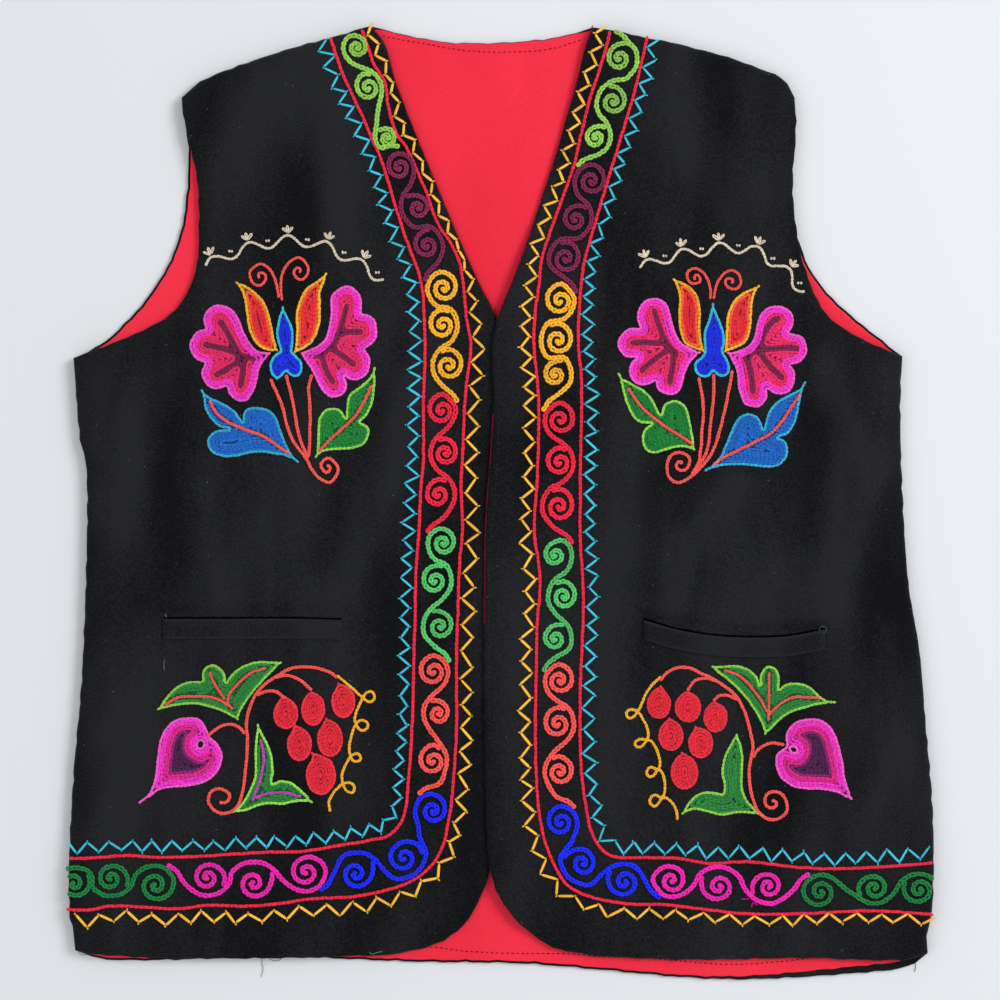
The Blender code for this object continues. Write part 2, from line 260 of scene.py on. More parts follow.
# %% Pattern edges of the back
RIGHT_BACK_ARMHOLE = [
    RIGHT_TIP, (-198, 235), (-197, 213), (-200, 180), (-208, 153), (-224, 128),
    (-248, 103), RIGHT_UNDERARM,
]
LEFT_BACK_ARMHOLE = [
    LEFT_TIP, (186, 235), (184, 205), (188, 167), (200, 140), (225, 115), (241, 102),
    LEFT_UNDERARM,
]
BACK_NECK = [
    LEFT_NECK, (37, 294), (12, 291), (-13, 290), (-38, 291), (-63, 296), RIGHT_NECK,
]
BACK_HEM = [
    RIGHT_HEM_CORNER, (-253, -288), (-220, -289), (-140, -287), (-51, -290), (12, -291),
    (63, -295), (119, -300), (160, -301), (226, -297), (257, -293), LEFT_HEM_CORNER,
]

# %% Pattern edges of the fronts
RIGHT_FRONT_ARMHOLE = [
    RIGHT_TIP, (-198, 235), (-191, 203), (-190, 170), (-192, 146), (-204, 122),
    (-220, 111), (-240, 102), RIGHT_UNDERARM,
]
LEFT_FRONT_ARMHOLE = [
    LEFT_TIP, (186, 235), (184, 200), (187, 168), (194, 141), (205, 119), (226, 104),
    LEFT_UNDERARM,
]
RIGHT_NECKLINE = [RIGHT_NECK, (-73, 288), (-66, 264), (-43, 206), (-17, 145), (0, 112)]
RIGHT_OPENING = [(0, 112), (3, 60), (2, -11), (-2, -120), (-5, -205)]
RIGHT_CUTAWAY = [
    (-5, -205), (-7, -232), (-12, -247), (-20, -262), (-31, -273), (-46, -280), (-70, -285),
]
RIGHT_HEM = [(-70, -285), (-140, -287), (-210, -287), (-247, -285), RIGHT_HEM_CORNER]
LEFT_NECKLINE = [LEFT_NECK, (54, 288), (48, 264), (31, 206), (10, 145), (-2, 116)]
LEFT_OPENING = [(-2, 116), (-5, 100), (-4, 60), (-9, -10), (-10, -110), (-9, -190)]
LEFT_CUTAWAY = [
    (-9, -190), (-7, -228), (-3, -243), (5, -257), (17, -269), (33, -280), (60, -286),
]
LEFT_HEM = [(60, -286), (120, -288), (190, -287), (252, -288), LEFT_HEM_CORNER]

# %% Smooth curves and outlines
OUTLINE_STEP = 5 * MM
CORNER_CLEAR = 8 * MM
RIPPLE = 0.25 * MM
# Two crossing waves, in radians a metre, that keep an edge from being ruler straight
RIPPLE_WAVES = ((300, 480), (700, -350))
FAR = 1.0


def smooth_curve(knots, step):
    """Points about one step apart along the smooth curve through the knots."""
    knots = np.asarray(knots, float)
    steps = np.diff(knots, axis=0)
    chords = np.linalg.norm(steps, axis=1)
    slopes = np.empty_like(knots)
    slopes[0] = steps[0] / chords[0]
    slopes[-1] = steps[-1] / chords[-1]
    slopes[1:-1] = (knots[2:] - knots[:-2]) / (chords[:-1] + chords[1:])[:, None]
    points = []
    for i, chord in enumerate(chords):
        count = max(1, round(chord / step))
        t = (np.arange(count) / count)[:, None]
        points.append(
            knots[i] * (2 * t**3 - 3 * t**2 + 1)
            + slopes[i] * chord * (t**3 - 2 * t**2 + t)
            + knots[i + 1] * (3 * t**2 - 2 * t**3)
            + slopes[i + 1] * chord * (t**3 - t**2)
        )
    points.append(knots[-1:])
    return np.concatenate(points)


def segment_distance(spots, starts, ends):
    """How far each spot lies from the nearest of the segments."""
    nearest = np.full(len(spots), FAR)
    for start, end in zip(starts, ends):
        along = end - start
        t = np.clip((spots - start) @ along / max(along @ along, 1e-18), 0, 1)
        gap = np.linalg.norm(start + t[:, None] * along - spots, axis=1)
        nearest = np.minimum(nearest, gap)
    return nearest


class Outline:
    """A closed, counter-clockwise outline that knows which of its points are sewn."""

    def __init__(self, edges):
        points, sewn = [], []
        for rows, is_sewn in edges:
            stretch = smooth_curve(np.array(rows) * MM, OUTLINE_STEP)
            room = np.minimum(
                np.linalg.norm(stretch - stretch[0], axis=1),
                np.linalg.norm(stretch - stretch[-1], axis=1),
            )
            kept = stretch[1:-1][room[1:-1] > CORNER_CLEAR]
            if sewn:
                sewn[-1] = sewn[-1] or is_sewn
            else:
                points.append(stretch[0])
                sewn.append(is_sewn)
            points += [*kept, stretch[-1]]
            sewn += [is_sewn] * (len(kept) + 1)
        sewn[0] = sewn[0] or sewn[-1]
        self.points = np.array(points[:-1])
        self.sewn = np.array(sewn[:-1])
        self.inward = self.miters()
        waves = sum(np.sin(self.points @ wave) for wave in RIPPLE_WAVES)
        self.points = self.points - self.inward * (RIPPLE * waves)[:, None]
        both = self.sewn & np.roll(self.sewn, -1)
        self.seam_starts = self.points[both]
        self.seam_ends = np.roll(self.points, -1, axis=0)[both]

    def miters(self):
        """For each point, the step that moves both of its edges inward by one unit."""
        before = self.points - np.roll(self.points, 1, axis=0)
        after = np.roll(self.points, -1, axis=0) - self.points
        first = np.stack([-before[:, 1], before[:, 0]], 1)
        first /= np.linalg.norm(first, axis=1)[:, None]
        second = np.stack([-after[:, 1], after[:, 0]], 1)
        second /= np.linalg.norm(second, axis=1)[:, None]
        middle = first + second
        middle /= np.linalg.norm(middle, axis=1)[:, None]
        return middle / np.maximum(0.6, (middle * first).sum(1))[:, None]

    def area(self):
        x, y = self.points.T
        return 0.5 * abs(np.sum(x * np.roll(y, -1) - y * np.roll(x, -1)))

    def size(self):
        return self.points.max(0) - self.points.min(0)


back_outline = Outline([
    (BACK_NECK, False),
    (RIGHT_SHOULDER, True),
    (RIGHT_BACK_ARMHOLE, False),
    (RIGHT_SIDE, True),
    (BACK_HEM, False),
    (LEFT_SIDE[::-1], True),
    (LEFT_BACK_ARMHOLE[::-1], False),
    (LEFT_SHOULDER[::-1], True),
])
right_outline = Outline([
    (RIGHT_SHOULDER, True),
    (RIGHT_FRONT_ARMHOLE, False),
    (RIGHT_SIDE, True),
    (RIGHT_HEM[::-1], False),
    (RIGHT_CUTAWAY[::-1], False),
    (RIGHT_OPENING[::-1], False),
    (RIGHT_NECKLINE[::-1], False),
])
left_outline = Outline([
    (LEFT_NECKLINE, False),
    (LEFT_OPENING, False),
    (LEFT_CUTAWAY, False),
    (LEFT_HEM, False),
    (LEFT_SIDE[::-1], True),
    (LEFT_FRONT_ARMHOLE[::-1], False),
    (LEFT_SHOULDER[::-1], True),
])
for outline in (back_outline, right_outline, left_outline):
    print("outline points:", len(outline.points))

# %% [markdown]
# ## How the cloth lies
# The back is flat on the surface. A front rests on it, higher where a side or shoulder
# seam rolls over, and the wearer's left front laps over the right one. The large folds are
# those of the CAD solids. The finer ones are placed here from the photograph, each
# a soft ridge or trough that fades out, none of them alike. A simulation was not used,
# because a garment that was smoothed down by hand keeps folds that no free drape gives.

# %% Folds and heights
VELVET = 1.6 * MM
LINING = 1.0 * MM
SEAM_GAP = 0.3 * MM
FOLD_RADIUS = 4.35 * MM
FRONT_HEIGHT = 7.0 * MM
SEAM_REACH = 42 * MM
LAP_LIFT = 3.5 * MM
LAP_STARTS = 24 * MM
LAP_FULL = 8 * MM

# Rows (start x, start y, end x, end y, half width, height), all in mm
RIGHT_FOLDS = [
    (-106, 250, -98, 165, 13, 1.1),
    (-150, 262, -178, 190, 16, 0.9),
    (-232, 55, -240, -10, 14, 1.0),
    (-206, 40, -222, -60, 15, -0.7),
    (-60, 70, -98, -60, 13, 1.3),
    (-78, 60, -120, -40, 12, -0.6),
    (-150, -15, -205, -110, 18, 0.7),
    (-60, -110, -85, -185, 14, 0.8),
    (-215, -150, -250, -210, 16, 0.9),
]
LEFT_FOLDS = [
    (206, 84, 226, 20, 13, 1.6),
    (226, 20, 206, -62, 15, 2.0),
    (243, 80, 246, 25, 11, 1.0),
    (196, 50, 190, -20, 15, -0.9),
    (150, 12, 116, -30, 12, 1.5),
    (116, -30, 108, -66, 12, 1.5),
    (96, 15, 84, -50, 13, -0.8),
    (240, -80, 243, -150, 13, 1.0),
    (246, -155, 228, -212, 12, 0.9),
    (110, 240, 150, 200, 22, 0.6),
]
RIGHT_FINE_FOLDS = [
    (-250, 78, -258, 30, 5, 0.7),
    (-258, 30, -244, 12, 4, -0.6),
    (-196, 90, -228, 74, 6, 0.5),
    (-105, 215, -104, 176, 5, 0.5),
    (-55, 72, -70, 8, 5, 0.5),
    (-70, 8, -95, -52, 6, 0.4),
    (-213, -67, -100, -67, 3, -0.5),
    (-120, 232, -132, 196, 7, -0.3),
    (-226, -120, -252, -150, 6, 0.4),
    (-36, -70, -60, -150, 6, 0.3),
    (-100, -74, -99.5, -86, 3.5, 0.6),
    (-99.5, -86, -106, -102, 3.5, 0.6),
    (-106, -52, -104, -68, 3.5, 0.4),
]
LEFT_FINE_FOLDS = [
    (207, 82, 222, 44, 5, 0.6),
    (226, 22, 220, -32, 5, 0.7),
    (151, 10, 130, -6, 5, 0.6),
    (113, -22, 108, -60, 5, 0.6),
    (243, -82, 246, -146, 5, 0.5),
    (247, -154, 234, -200, 5, 0.5),
    (90, -70, 148, -80, 3, -0.8),
    (148, -80, 205, -77, 3, -0.8),
    (60, 220, 84, 190, 7, 0.3),
    (180, -200, 214, -250, 7, 0.35),
]
BACK_FOLDS = [
    (-40, 282, -6, 200, 10, 0.45),
    (22, 270, -14, 170, 9, -0.3),
    (-58, 262, -30, 215, 7, 0.35),
    (-228, 100, -206, 160, 5, 0.3),
    (214, 112, 192, 150, 5, 0.3),
]


def smooth_step(value):
    value = np.clip(value, 0, 1)
    return value * value * (3 - 2 * value)


def fold_height(spots, folds):
    """The sum of the soft folds at each spot."""
    total = np.zeros(len(spots))
    for start_x, start_y, end_x, end_y, half_width, height in folds:
        ends = np.array([(start_x, start_y), (end_x, end_y)]) * MM
        gap = segment_distance(spots, ends[:1], ends[1:]) / (half_width * MM)
        total += height * MM * np.exp(-gap * gap)
    return total


class Panel:
    """Where a panel's pile side lies, and where its layers lie under it."""

    def __init__(self, outline, folds, is_back=False, laps=False):
        self.outline = outline
        self.folds = folds
        self.is_back = is_back
        self.laps = laps
        self.seam_level = FOLD_RADIUS + (-1 if is_back else 1) * SEAM_GAP / 2

    def height(self, spots, depth=0.0):
        if self.is_back:
            waves = fold_height(spots, self.folds) if depth > VELVET else 0.0
            return np.full(len(spots), depth) + waves
        gap = segment_distance(spots, self.outline.seam_starts, self.outline.seam_ends)
        gap = np.maximum(0, gap - FOLD_RADIUS)
        lift = np.exp(-((gap / SEAM_REACH) ** 2))
        height = FRONT_HEIGHT + (2 * FOLD_RADIUS - FRONT_HEIGHT) * lift
        height += fold_height(spots, self.folds) * smooth_step(gap / (12 * MM))
        if self.laps:
            rise = (LAP_STARTS - spots[:, 0]) / (LAP_STARTS - LAP_FULL)
            height += LAP_LIFT * smooth_step(rise)
        return height - depth


back = Panel(back_outline, BACK_FOLDS, is_back=True)
right_front = Panel(right_outline, RIGHT_FOLDS + RIGHT_FINE_FOLDS)
left_front = Panel(left_outline, LEFT_FOLDS + LEFT_FINE_FOLDS, laps=True)
print("right front is", round(right_outline.area(), 4), "square metres")

# %% [markdown]
# ## Cloth with an edge
# A panel's layer is a closed thin shell: a pile side, a wrong side, and an edge between.
# Along a seam the edge rolls in a quarter circle towards the other panel. Along a free
# edge the velvet is turned in, so it ends in a soft round roll that hides the cotton's own
# edge. The edge is a short table of steps across the roll, and the middle is filled with
# evenly spread points, so the folds can shape it.

# %% Layer builder
# Each row: how far in from the outline and how deep below the pile side, in mm.
# The first half runs from the flat to the edge, and the second half back under it.
TURNED_EDGE = [
    (3.4, 0.0), (2.2, 0.03), (1.3, 0.15), (0.65, 0.45), (0.2, 0.88), (0.0, 1.45),
    (0.2, 2.05), (0.65, 2.5), (1.3, 2.8), (2.6, 2.9), (2.95, 2.5), (3.1, 1.6),
]
TUCKED_EDGE = [
    (4.8, 1.9), (4.3, 1.9), (3.9, 1.95), (3.65, 2.05), (3.5, 2.2), (3.45, 2.38),
    (3.45, 2.42), (3.5, 2.6), (3.65, 2.75), (3.9, 2.85), (4.3, 2.9), (4.8, 2.9),
]
# The back's cotton lies near the edge, so a dark rim shows round it.
BACK_TURNED_EDGE = [
    (3.4, 0.0), (2.2, 0.03), (1.3, 0.12), (0.65, 0.35), (0.2, 0.7), (0.0, 1.1),
    (0.0, 1.5), (0.1, 1.75), (0.3, 1.85), (0.7, 1.85), (1.6, 1.7), (2.4, 1.6),
]
BACK_TUCKED_EDGE = [
    (4.8, 1.9), (3.9, 1.9), (3.1, 1.92), (2.3, 1.95), (1.8, 2.05), (1.6, 2.3),
    (1.6, 2.5), (1.8, 2.72), (2.3, 2.85), (3.1, 2.9), (3.9, 2.9), (4.8, 2.9),
]
ROLL_STEPS = len(TURNED_EDGE) // 2
# The fold height at which the painted highlight or painted shade is full.
PAINTED_SHADING_FULL = 1.5 * MM


def back_rim(points):
    """The dark rim's change along the back's edge: thin at the neck, wide at the hem's end."""
    x, y = points.T / MM
    at_hem = np.where(y < -280, 3.2 * smooth_step((x - 110) / 140), 0)
    return MM * np.where(y > 270, -1.0, at_hem)


def edge_ring(panel, step, free_row, depth, rim):
    """One ring of points round a panel's edge, at that step across the roll."""
    outline = panel.outline
    across = step if step < ROLL_STEPS else 2 * ROLL_STEPS - 1 - step
    angle = (1 - across / (ROLL_STEPS - 1)) * math.pi / 2
    roll = FOLD_RADIUS - (FOLD_RADIUS - depth) * math.cos(angle)
    inward = np.where(outline.sewn, roll, free_row[0] * MM + rim)
    spots = outline.points + outline.inward * inward[:, None]
    face = panel.height(spots, depth)
    rolled = panel.seam_level + (face - panel.seam_level) * math.sin(angle)
    free = panel.height(spots, free_row[1] * MM)
    return np.column_stack([spots, np.where(outline.sewn, rolled, free)])


def is_inside(spots, ring):
    inside = np.zeros(len(spots), bool)
    for a, b in zip(ring, np.roll(ring, 1, axis=0)):
        if a[1] != b[1]:
            spans = (a[1] > spots[:, 1]) != (b[1] > spots[:, 1])
            side = (b[0] - a[0]) * (spots[:, 1] - a[1]) / (b[1] - a[1]) + a[0]
            inside ^= spans & (spots[:, 0] < side)
    return inside


def even_spots(ring, spacing):
    """Evenly spread points inside a ring, in rows shifted by half a step."""
    low, high = ring.min(0), ring.max(0)
    row_step = spacing * math.sqrt(3) / 2
    rows = np.arange(low[1], high[1], row_step)
    spots = []
    for i, y in enumerate(rows):
        x = np.arange(low[0] + (i % 2) * spacing / 2, high[0], spacing)
        spots.append(np.column_stack([x, np.full(len(x), y)]))
    spots = np.concatenate(spots)
    spots = spots[is_inside(spots, ring)]
    gap = segment_distance(spots, ring, np.roll(ring, -1, axis=0))
    return spots[gap > 0.6 * spacing]


def mesh_object(name, vertices, faces, finish):
    """A smooth-shaded object from arrays of points and faces, all facing outward."""
    data = bpy.data.meshes.new(name)
    data.from_pydata(vertices.tolist(), [], faces)
    data.materials.append(finish)
    data.shade_smooth()
    piece = bpy.data.objects.new(name, data)
    bpy.context.collection.objects.link(piece)
    return piece


def paint_fold_shading(piece, values):
    """How much painted highlight (above zero) or painted shade (below zero) each point gets, for
    the cloth finish to read.
    """
    layer = piece.data.attributes.new("painted_fold_shading", "FLOAT", "POINT")
    layer.data.foreach_set("value", np.asarray(values).astype(np.float32))


def cloth_layer(name, panel, free_edge, spacing, finish, rim=0.0):
    """A closed thin shell that lies where that layer of the panel lies."""
    near, far = free_edge[0][1] * MM, free_edge[-1][1] * MM
    rings = []
    for step, row in enumerate(free_edge):
        rings.append(edge_ring(panel, step, row, near if step < ROLL_STEPS else far, rim))
    spots = even_spots(rings[0][:, :2], spacing)
    near_spots = np.column_stack([spots, panel.height(spots, near)])
    far_spots = np.column_stack([spots, panel.height(spots, far)])
    count = len(panel.outline.points)
    flat = [Vector(point) for point in np.concatenate([rings[0][:, :2], spots])]
    filled = delaunay_2d_cdt(flat, [], [list(range(count))], 1, 1e-9)
    sources = [source[0] for source in filled[3]]
    near_start = 2 * ROLL_STEPS * count
    far_start = near_start + len(spots)
    last_ring = (2 * ROLL_STEPS - 1) * count
    faces = []
    for triangle in filled[2]:
        corners = [sources[i] for i in triangle]
        faces.append([i if i < count else near_start + i - count for i in corners])
        under = [last_ring + i if i < count else far_start + i - count for i in corners]
        faces.append(under[::-1])
    for ring in range(2 * ROLL_STEPS - 1):
        for i in range(count):
            j = (i + 1) % count
            a, b = ring * count, (ring + 1) * count
            faces.append([a + i, b + i, b + j, a + j])
    if panel.is_back:
        faces = [face[::-1] for face in faces]
    vertices = np.concatenate([*rings, near_spots, far_spots])
    piece = mesh_object(name, vertices, faces, finish)
    # Fold ridges get a painted highlight and fold troughs painted shade.
    folds = fold_height(vertices[:, :2], panel.folds)
    paint_fold_shading(piece, np.clip(folds / PAINTED_SHADING_FULL, -1, 1))
    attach(piece, "root")
    print(name, "faces:", len(faces))
    return piece


ALLOWANCE = 10 * MM


def state_cut(piece, outline):
    """The flat cut: the panel with a turning allowance all round."""
    width, length = outline.size() + 2 * ALLOWANCE
    edges = np.roll(outline.points, -1, axis=0) - outline.points
    area = outline.area() + ALLOWANCE * np.linalg.norm(edges, axis=1).sum()
    print(piece.name, "cut", round(width, 3), "x", round(length, 3), "m, area", round(area, 4))


# %% Cut and lay the panels
FRONT_SPACING = 4.1 * MM
HIDDEN_SPACING = 12 * MM
BACK_SPACING = 8.5 * MM
back_velvet = cloth_layer("back_velvet", back, BACK_TURNED_EDGE, HIDDEN_SPACING, velvet)
back_cotton = cloth_layer(
    "back_cotton", back, BACK_TUCKED_EDGE, BACK_SPACING, cotton, back_rim(back_outline.points)
)
right_cotton = cloth_layer("right_front_cotton", right_front, TUCKED_EDGE, HIDDEN_SPACING, cotton)
left_cotton = cloth_layer("left_front_cotton", left_front, TUCKED_EDGE, HIDDEN_SPACING, cotton)
right_velvet = cloth_layer("right_front_velvet", right_front, TURNED_EDGE, FRONT_SPACING, velvet)
left_velvet = cloth_layer("left_front_velvet", left_front, TURNED_EDGE, FRONT_SPACING, velvet)

# Rows (piece, the CAD node it stands for, slot, outline, what it rests on)
PANELS = [
    (back_velvet, "back_shell", "velvet_shell", back_outline, []),
    (back_cotton, "back_lining", "red_lining", back_outline, ["back_velvet"]),
    (right_cotton, "right_front_lining", "red_lining", right_outline, ["back_cotton"]),
    (left_cotton, "left_front_lining", "red_lining", left_outline, ["back_cotton"]),
    (right_velvet, "right_front_shell", "velvet_shell", right_outline, ["right_front_cotton"]),
    (left_velvet, "left_front_shell", "velvet_shell", left_outline, ["left_front_cotton"]),
]
for piece, node, slot, outline, rests_on in PANELS:
    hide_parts(node)
    state_cut(piece, outline)

# %% [markdown]
# ## Pocket welts
# Each pocket is a slit with a band of velvet folded upward over its lower edge. The band
# is narrow and stands a little proud, and the cloth above it sinks into the slit. Its
# section is a small table, carried along the slit's line over the front's own surface.

# %% Pocket welts
RIGHT_SLIT = [(-212, -73.4), (-175, -73.4), (-138, -73.2), (-100, -74)]
LEFT_SLIT = [(90, -74), (113, -80.5), (141, -84.5), (178, -84.5), (204, -80)]
# Rows (distance below the slit, height over the front's pile, share of painted highlight at the
# band's folds), in mm
WELT_SECTION = [
    (0.1, 0.3, 0), (-0.1, 0.9, 0.6), (0.2, 1.45, 1.5), (0.8, 1.75, 1.5), (1.7, 1.8, 0.2),
    (4, 1.8, 0.2), (7, 1.7, 0.1), (10.6, 1.65, 0.2), (11.7, 1.5, 1.2), (12.3, 1.1, 1.4),
    (12.4, 0.3, 0), (9, 0.3, 0), (5, 0.3, 0), (2, 0.3, 0),
]
WELT_STEP = 3 * MM


def pocket_welt(name, panel, slit, node):
    line = smooth_curve(np.array(slit) * MM, WELT_STEP)
    count = len(WELT_SECTION)
    ends = np.ones(len(line))
    ends[[0, -1]] = 0.8
    points = []
    for below, rise, _ in WELT_SECTION:
        spots = line - np.array([0, below * MM])
        points.append(np.column_stack([spots, panel.height(spots) + rise * MM * ends]))
    vertices = np.stack(points, 1).reshape(-1, 3)
    faces = []
    for i in range(len(line) - 1):
        for j in range(count):
            k = (j + 1) % count
            a, b = i * count, (i + 1) * count
            faces.append([a + j, a + k, b + k, b + j])
    faces.append(list(range(count))[::-1])
    faces.append([(len(line) - 1) * count + j for j in range(count)])
    piece = mesh_object(name, vertices, faces, velvet)
    # The band's folded edges are painted lighter: a painted highlight.
    paint_fold_shading(piece, np.tile([row[2] for row in WELT_SECTION], len(line)))
    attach(piece, "root")
    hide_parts(node)


pocket_welt("right_pocket_band", right_front, RIGHT_SLIT, "right_pocket_welt")
pocket_welt("left_pocket_band", left_front, LEFT_SLIT, "left_pocket_welt")

# %% [markdown]
# ## One chain stitch
# Chain stitch is a row of small loops, each one starting inside the loop before it. A
# single loop is modelled once from a torus, and its section and its direction round the
# ring are read back from it, so that the same loop can be drawn long, short, thick or thin
# while the thread keeps its own thickness. Every stitch of a motif is then joined in one
# mesh, which is lighter than thousands of objects.


# %% Thread finish
def thread_finish(name, roughness, gloss, sheen):
    """Thread: the colour of each stitch, its gloss and the twist in relief."""
    finish = bpy.data.materials.new(name)
    finish.use_nodes = True
    nodes, links = finish.node_tree.nodes, finish.node_tree.links
    shader = nodes["Principled BSDF"]
    shader.inputs["Roughness"].default_value = roughness
    shader.inputs["Specular IOR Level"].default_value = gloss
    shader.inputs["Sheen Weight"].default_value = sheen
    colour = nodes.new("ShaderNodeAttribute")
    colour.attribute_name = "thread"
    links.new(colour.outputs["Color"], shader.inputs["Base Color"])
    strand = nodes.new("ShaderNodeUVMap")
    strand.uv_map = "Strand"
    twist = nodes.new("ShaderNodeTexWave")
    twist.bands_direction = "DIAGONAL"
    twist.inputs["Scale"].default_value = 1.6
    links.new(strand.outputs["UV"], twist.inputs["Vector"])
    relief = nodes.new("ShaderNodeBump")
    relief.inputs["Strength"].default_value = 0.5
    relief.inputs["Distance"].default_value = 0.15 * MM
    links.new(twist.outputs["Fac"], relief.inputs["Height"])
    links.new(relief.outputs["Normal"], shader.inputs["Normal"])
    return finish


rayon = thread_finish("rayon_thread", 0.5, 0.28, 0.05)
# The matt finish also carries the black line of painted shadow over each pocket slit.
sewing_cotton = thread_finish("sewing_cotton", 0.95, 0.02, 0.0)


# %% Stitch loops taken from a torus
class Loop:
    """A ring of thread: round the ring, round the thread, and its faces."""

    def __init__(self, along, around):
        section = 0.25
        bpy.ops.object.select_all(action="DESELECT")
        bpy.ops.mesh.primitive_torus_add(
            major_segments=along, minor_segments=around, major_radius=1, minor_radius=section
        )
        ring = bpy.context.object
        data = ring.data
        points = np.array([vertex.co for vertex in data.vertices])
        reach = np.hypot(points[:, 0], points[:, 1])
        self.angle = np.arctan2(points[:, 1], points[:, 0])
        self.out = (reach - 1) / section
        self.up = points[:, 2] / section
        self.faces = np.array([list(face.vertices) for face in data.polygons])
        self.uv = np.array([item.uv for item in data.uv_layers[0].data])
        bpy.data.objects.remove(ring, do_unlink=True)


scroll_loop = Loop(9, 4)
fill_loop = Loop(8, 4)
plain_loop = Loop(5, 3)
for loop in (scroll_loop, fill_loop, plain_loop):
    print("triangles in a stitch:", 2 * len(loop.faces))

# %% [markdown]
# ## Laying stitches on the cloth
# A stitch is one row of numbers: where it is, which way it runs, its length, width, thread
# radius, how high it lies, and its colour. The rows of a motif become one mesh, and each
# point of it is lifted to the velvet's own height there, so the thread follows the folds.

# %% Stitch mesh
COLUMNS = 10
SUNK = 0.15
# A loop is a rounded box with a narrower end, which rises over the loop before it.
LOOP_WIDE, LOOP_TAPER = 0.86, 0.14
LOOP_ROUNDING = 0.5
NARROWEST = 0.35
LOOP_RISE = 0.35
TILE_SHARE, TILE_MARGIN = 0.9, 0.05
EDGE_CLEARANCE = 0.8 * MM


def stitch_mesh(name, rows, panel, loop, depth=0.0, on_panel=True, finish=rayon):
    """All the stitches of one motif as a mesh on that panel, or at a depth in it."""
    rows = np.asarray(rows)
    if on_panel:
        edge = panel.outline.points + panel.outline.inward * EDGE_CLEARANCE
        rows = rows[is_inside(rows[:, :2], edge)]
    count, size = len(rows), len(loop.angle)
    x, y, turn, length, width, radius, lift = (rows[:, i : i + 1] for i in range(7))
    cos, sin = np.cos(loop.angle), np.sin(loop.angle)
    half_long = np.maximum(length / 2 - radius, radius)
    half_wide = np.maximum(width / 2 - radius, NARROWEST * radius)
    taper = LOOP_WIDE + LOOP_TAPER * cos
    along = half_long * cos
    across = half_wide * np.sign(sin) * abs(sin) ** LOOP_ROUNDING * taper
    out_x, out_y = cos / half_long, sin / half_wide
    size_out = np.hypot(out_x, out_y)
    along = along + loop.out * radius * out_x / size_out
    across = across + loop.out * radius * out_y / size_out
    up = lift + radius * (loop.up + 1 - SUNK) + LOOP_RISE * radius * cos
    world_x = x + along * np.cos(turn) - across * np.sin(turn)
    world_y = y + along * np.sin(turn) + across * np.cos(turn)
    spots = np.column_stack([world_x.ravel(), world_y.ravel()])
    points = np.column_stack([spots, panel.height(spots, depth) + up.ravel()])
    faces = loop.faces[None] + (np.arange(count) * size)[:, None, None]
    piece = array_object(name, points, faces.reshape(-1, 4))
    data = piece.data
    colours = np.ones((count, size, 4))
    colours[:, :, :3] = rows[:, None, 7:10]
    layer = data.color_attributes.new("thread", "FLOAT_COLOR", "POINT")
    layer.data.foreach_set("color", colours.ravel().astype(np.float32))
    tiles = math.ceil(math.sqrt(count))
    corner = np.stack([np.arange(count) % tiles, np.arange(count) // tiles], 1) / tiles
    baked = corner[:, None] + loop.uv[None] * TILE_SHARE / tiles + TILE_MARGIN / tiles
    strand = np.tile(loop.uv * (8, 1), (count, 1))
    for layer_name, uv in (("OFBake", baked.reshape(-1, 2)), ("Strand", strand)):
        layer = data.uv_layers.new(name=layer_name)
        layer.data.foreach_set("uv", uv.ravel().astype(np.float32))
    data.materials.append(finish)
    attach(piece, "root")
    print(name, count, "stitches,", 2 * len(data.polygons), "triangles")
    return piece


def stitch_motif(name, rows, panel):
    """A filled motif in two meshes: its padding, which lies low, and its stitches."""
    is_padding = rows[:, 6] < 0
    stitch_mesh(name + "_padding", rows[is_padding], panel, plain_loop)
    stitch_mesh(name, rows[~is_padding], panel, fill_loop)


def array_object(name, points, quads):
    """An object from arrays of points and four-sided faces."""
    data = bpy.data.meshes.new(name)
    data.vertices.add(len(points))
    data.vertices.foreach_set("co", points.ravel().astype(np.float32))
    data.loops.add(quads.size)
    data.loops.foreach_set("vertex_index", quads.ravel().astype(np.int32))
    data.polygons.add(len(quads))
    data.polygons.foreach_set("loop_start", np.arange(0, quads.size, 4, dtype=np.int32))
    data.update(calc_edges=True)
    data.shade_smooth()
    piece = bpy.data.objects.new(name, data)
    bpy.context.collection.objects.link(piece)
    return piece


# %% Chains along a path
# How far a hand strays: in turn, in size and shade, and in height
HAND_TURN = 0.06
HAND_SHARE = 0.05
HAND_LIFT = 0.06 * MM


def even_points(path, step):
    """Points one step apart along a path, the step adjusted to fit it."""
    lengths = np.linalg.norm(np.diff(path, axis=0), axis=1)
    travelled = np.concatenate([[0], np.cumsum(lengths)])
    count = max(1, round(travelled[-1] / step))
    marks = np.linspace(0, travelled[-1], count + 1)
    return np.column_stack([np.interp(marks, travelled, path[:, i]) for i in range(2)])


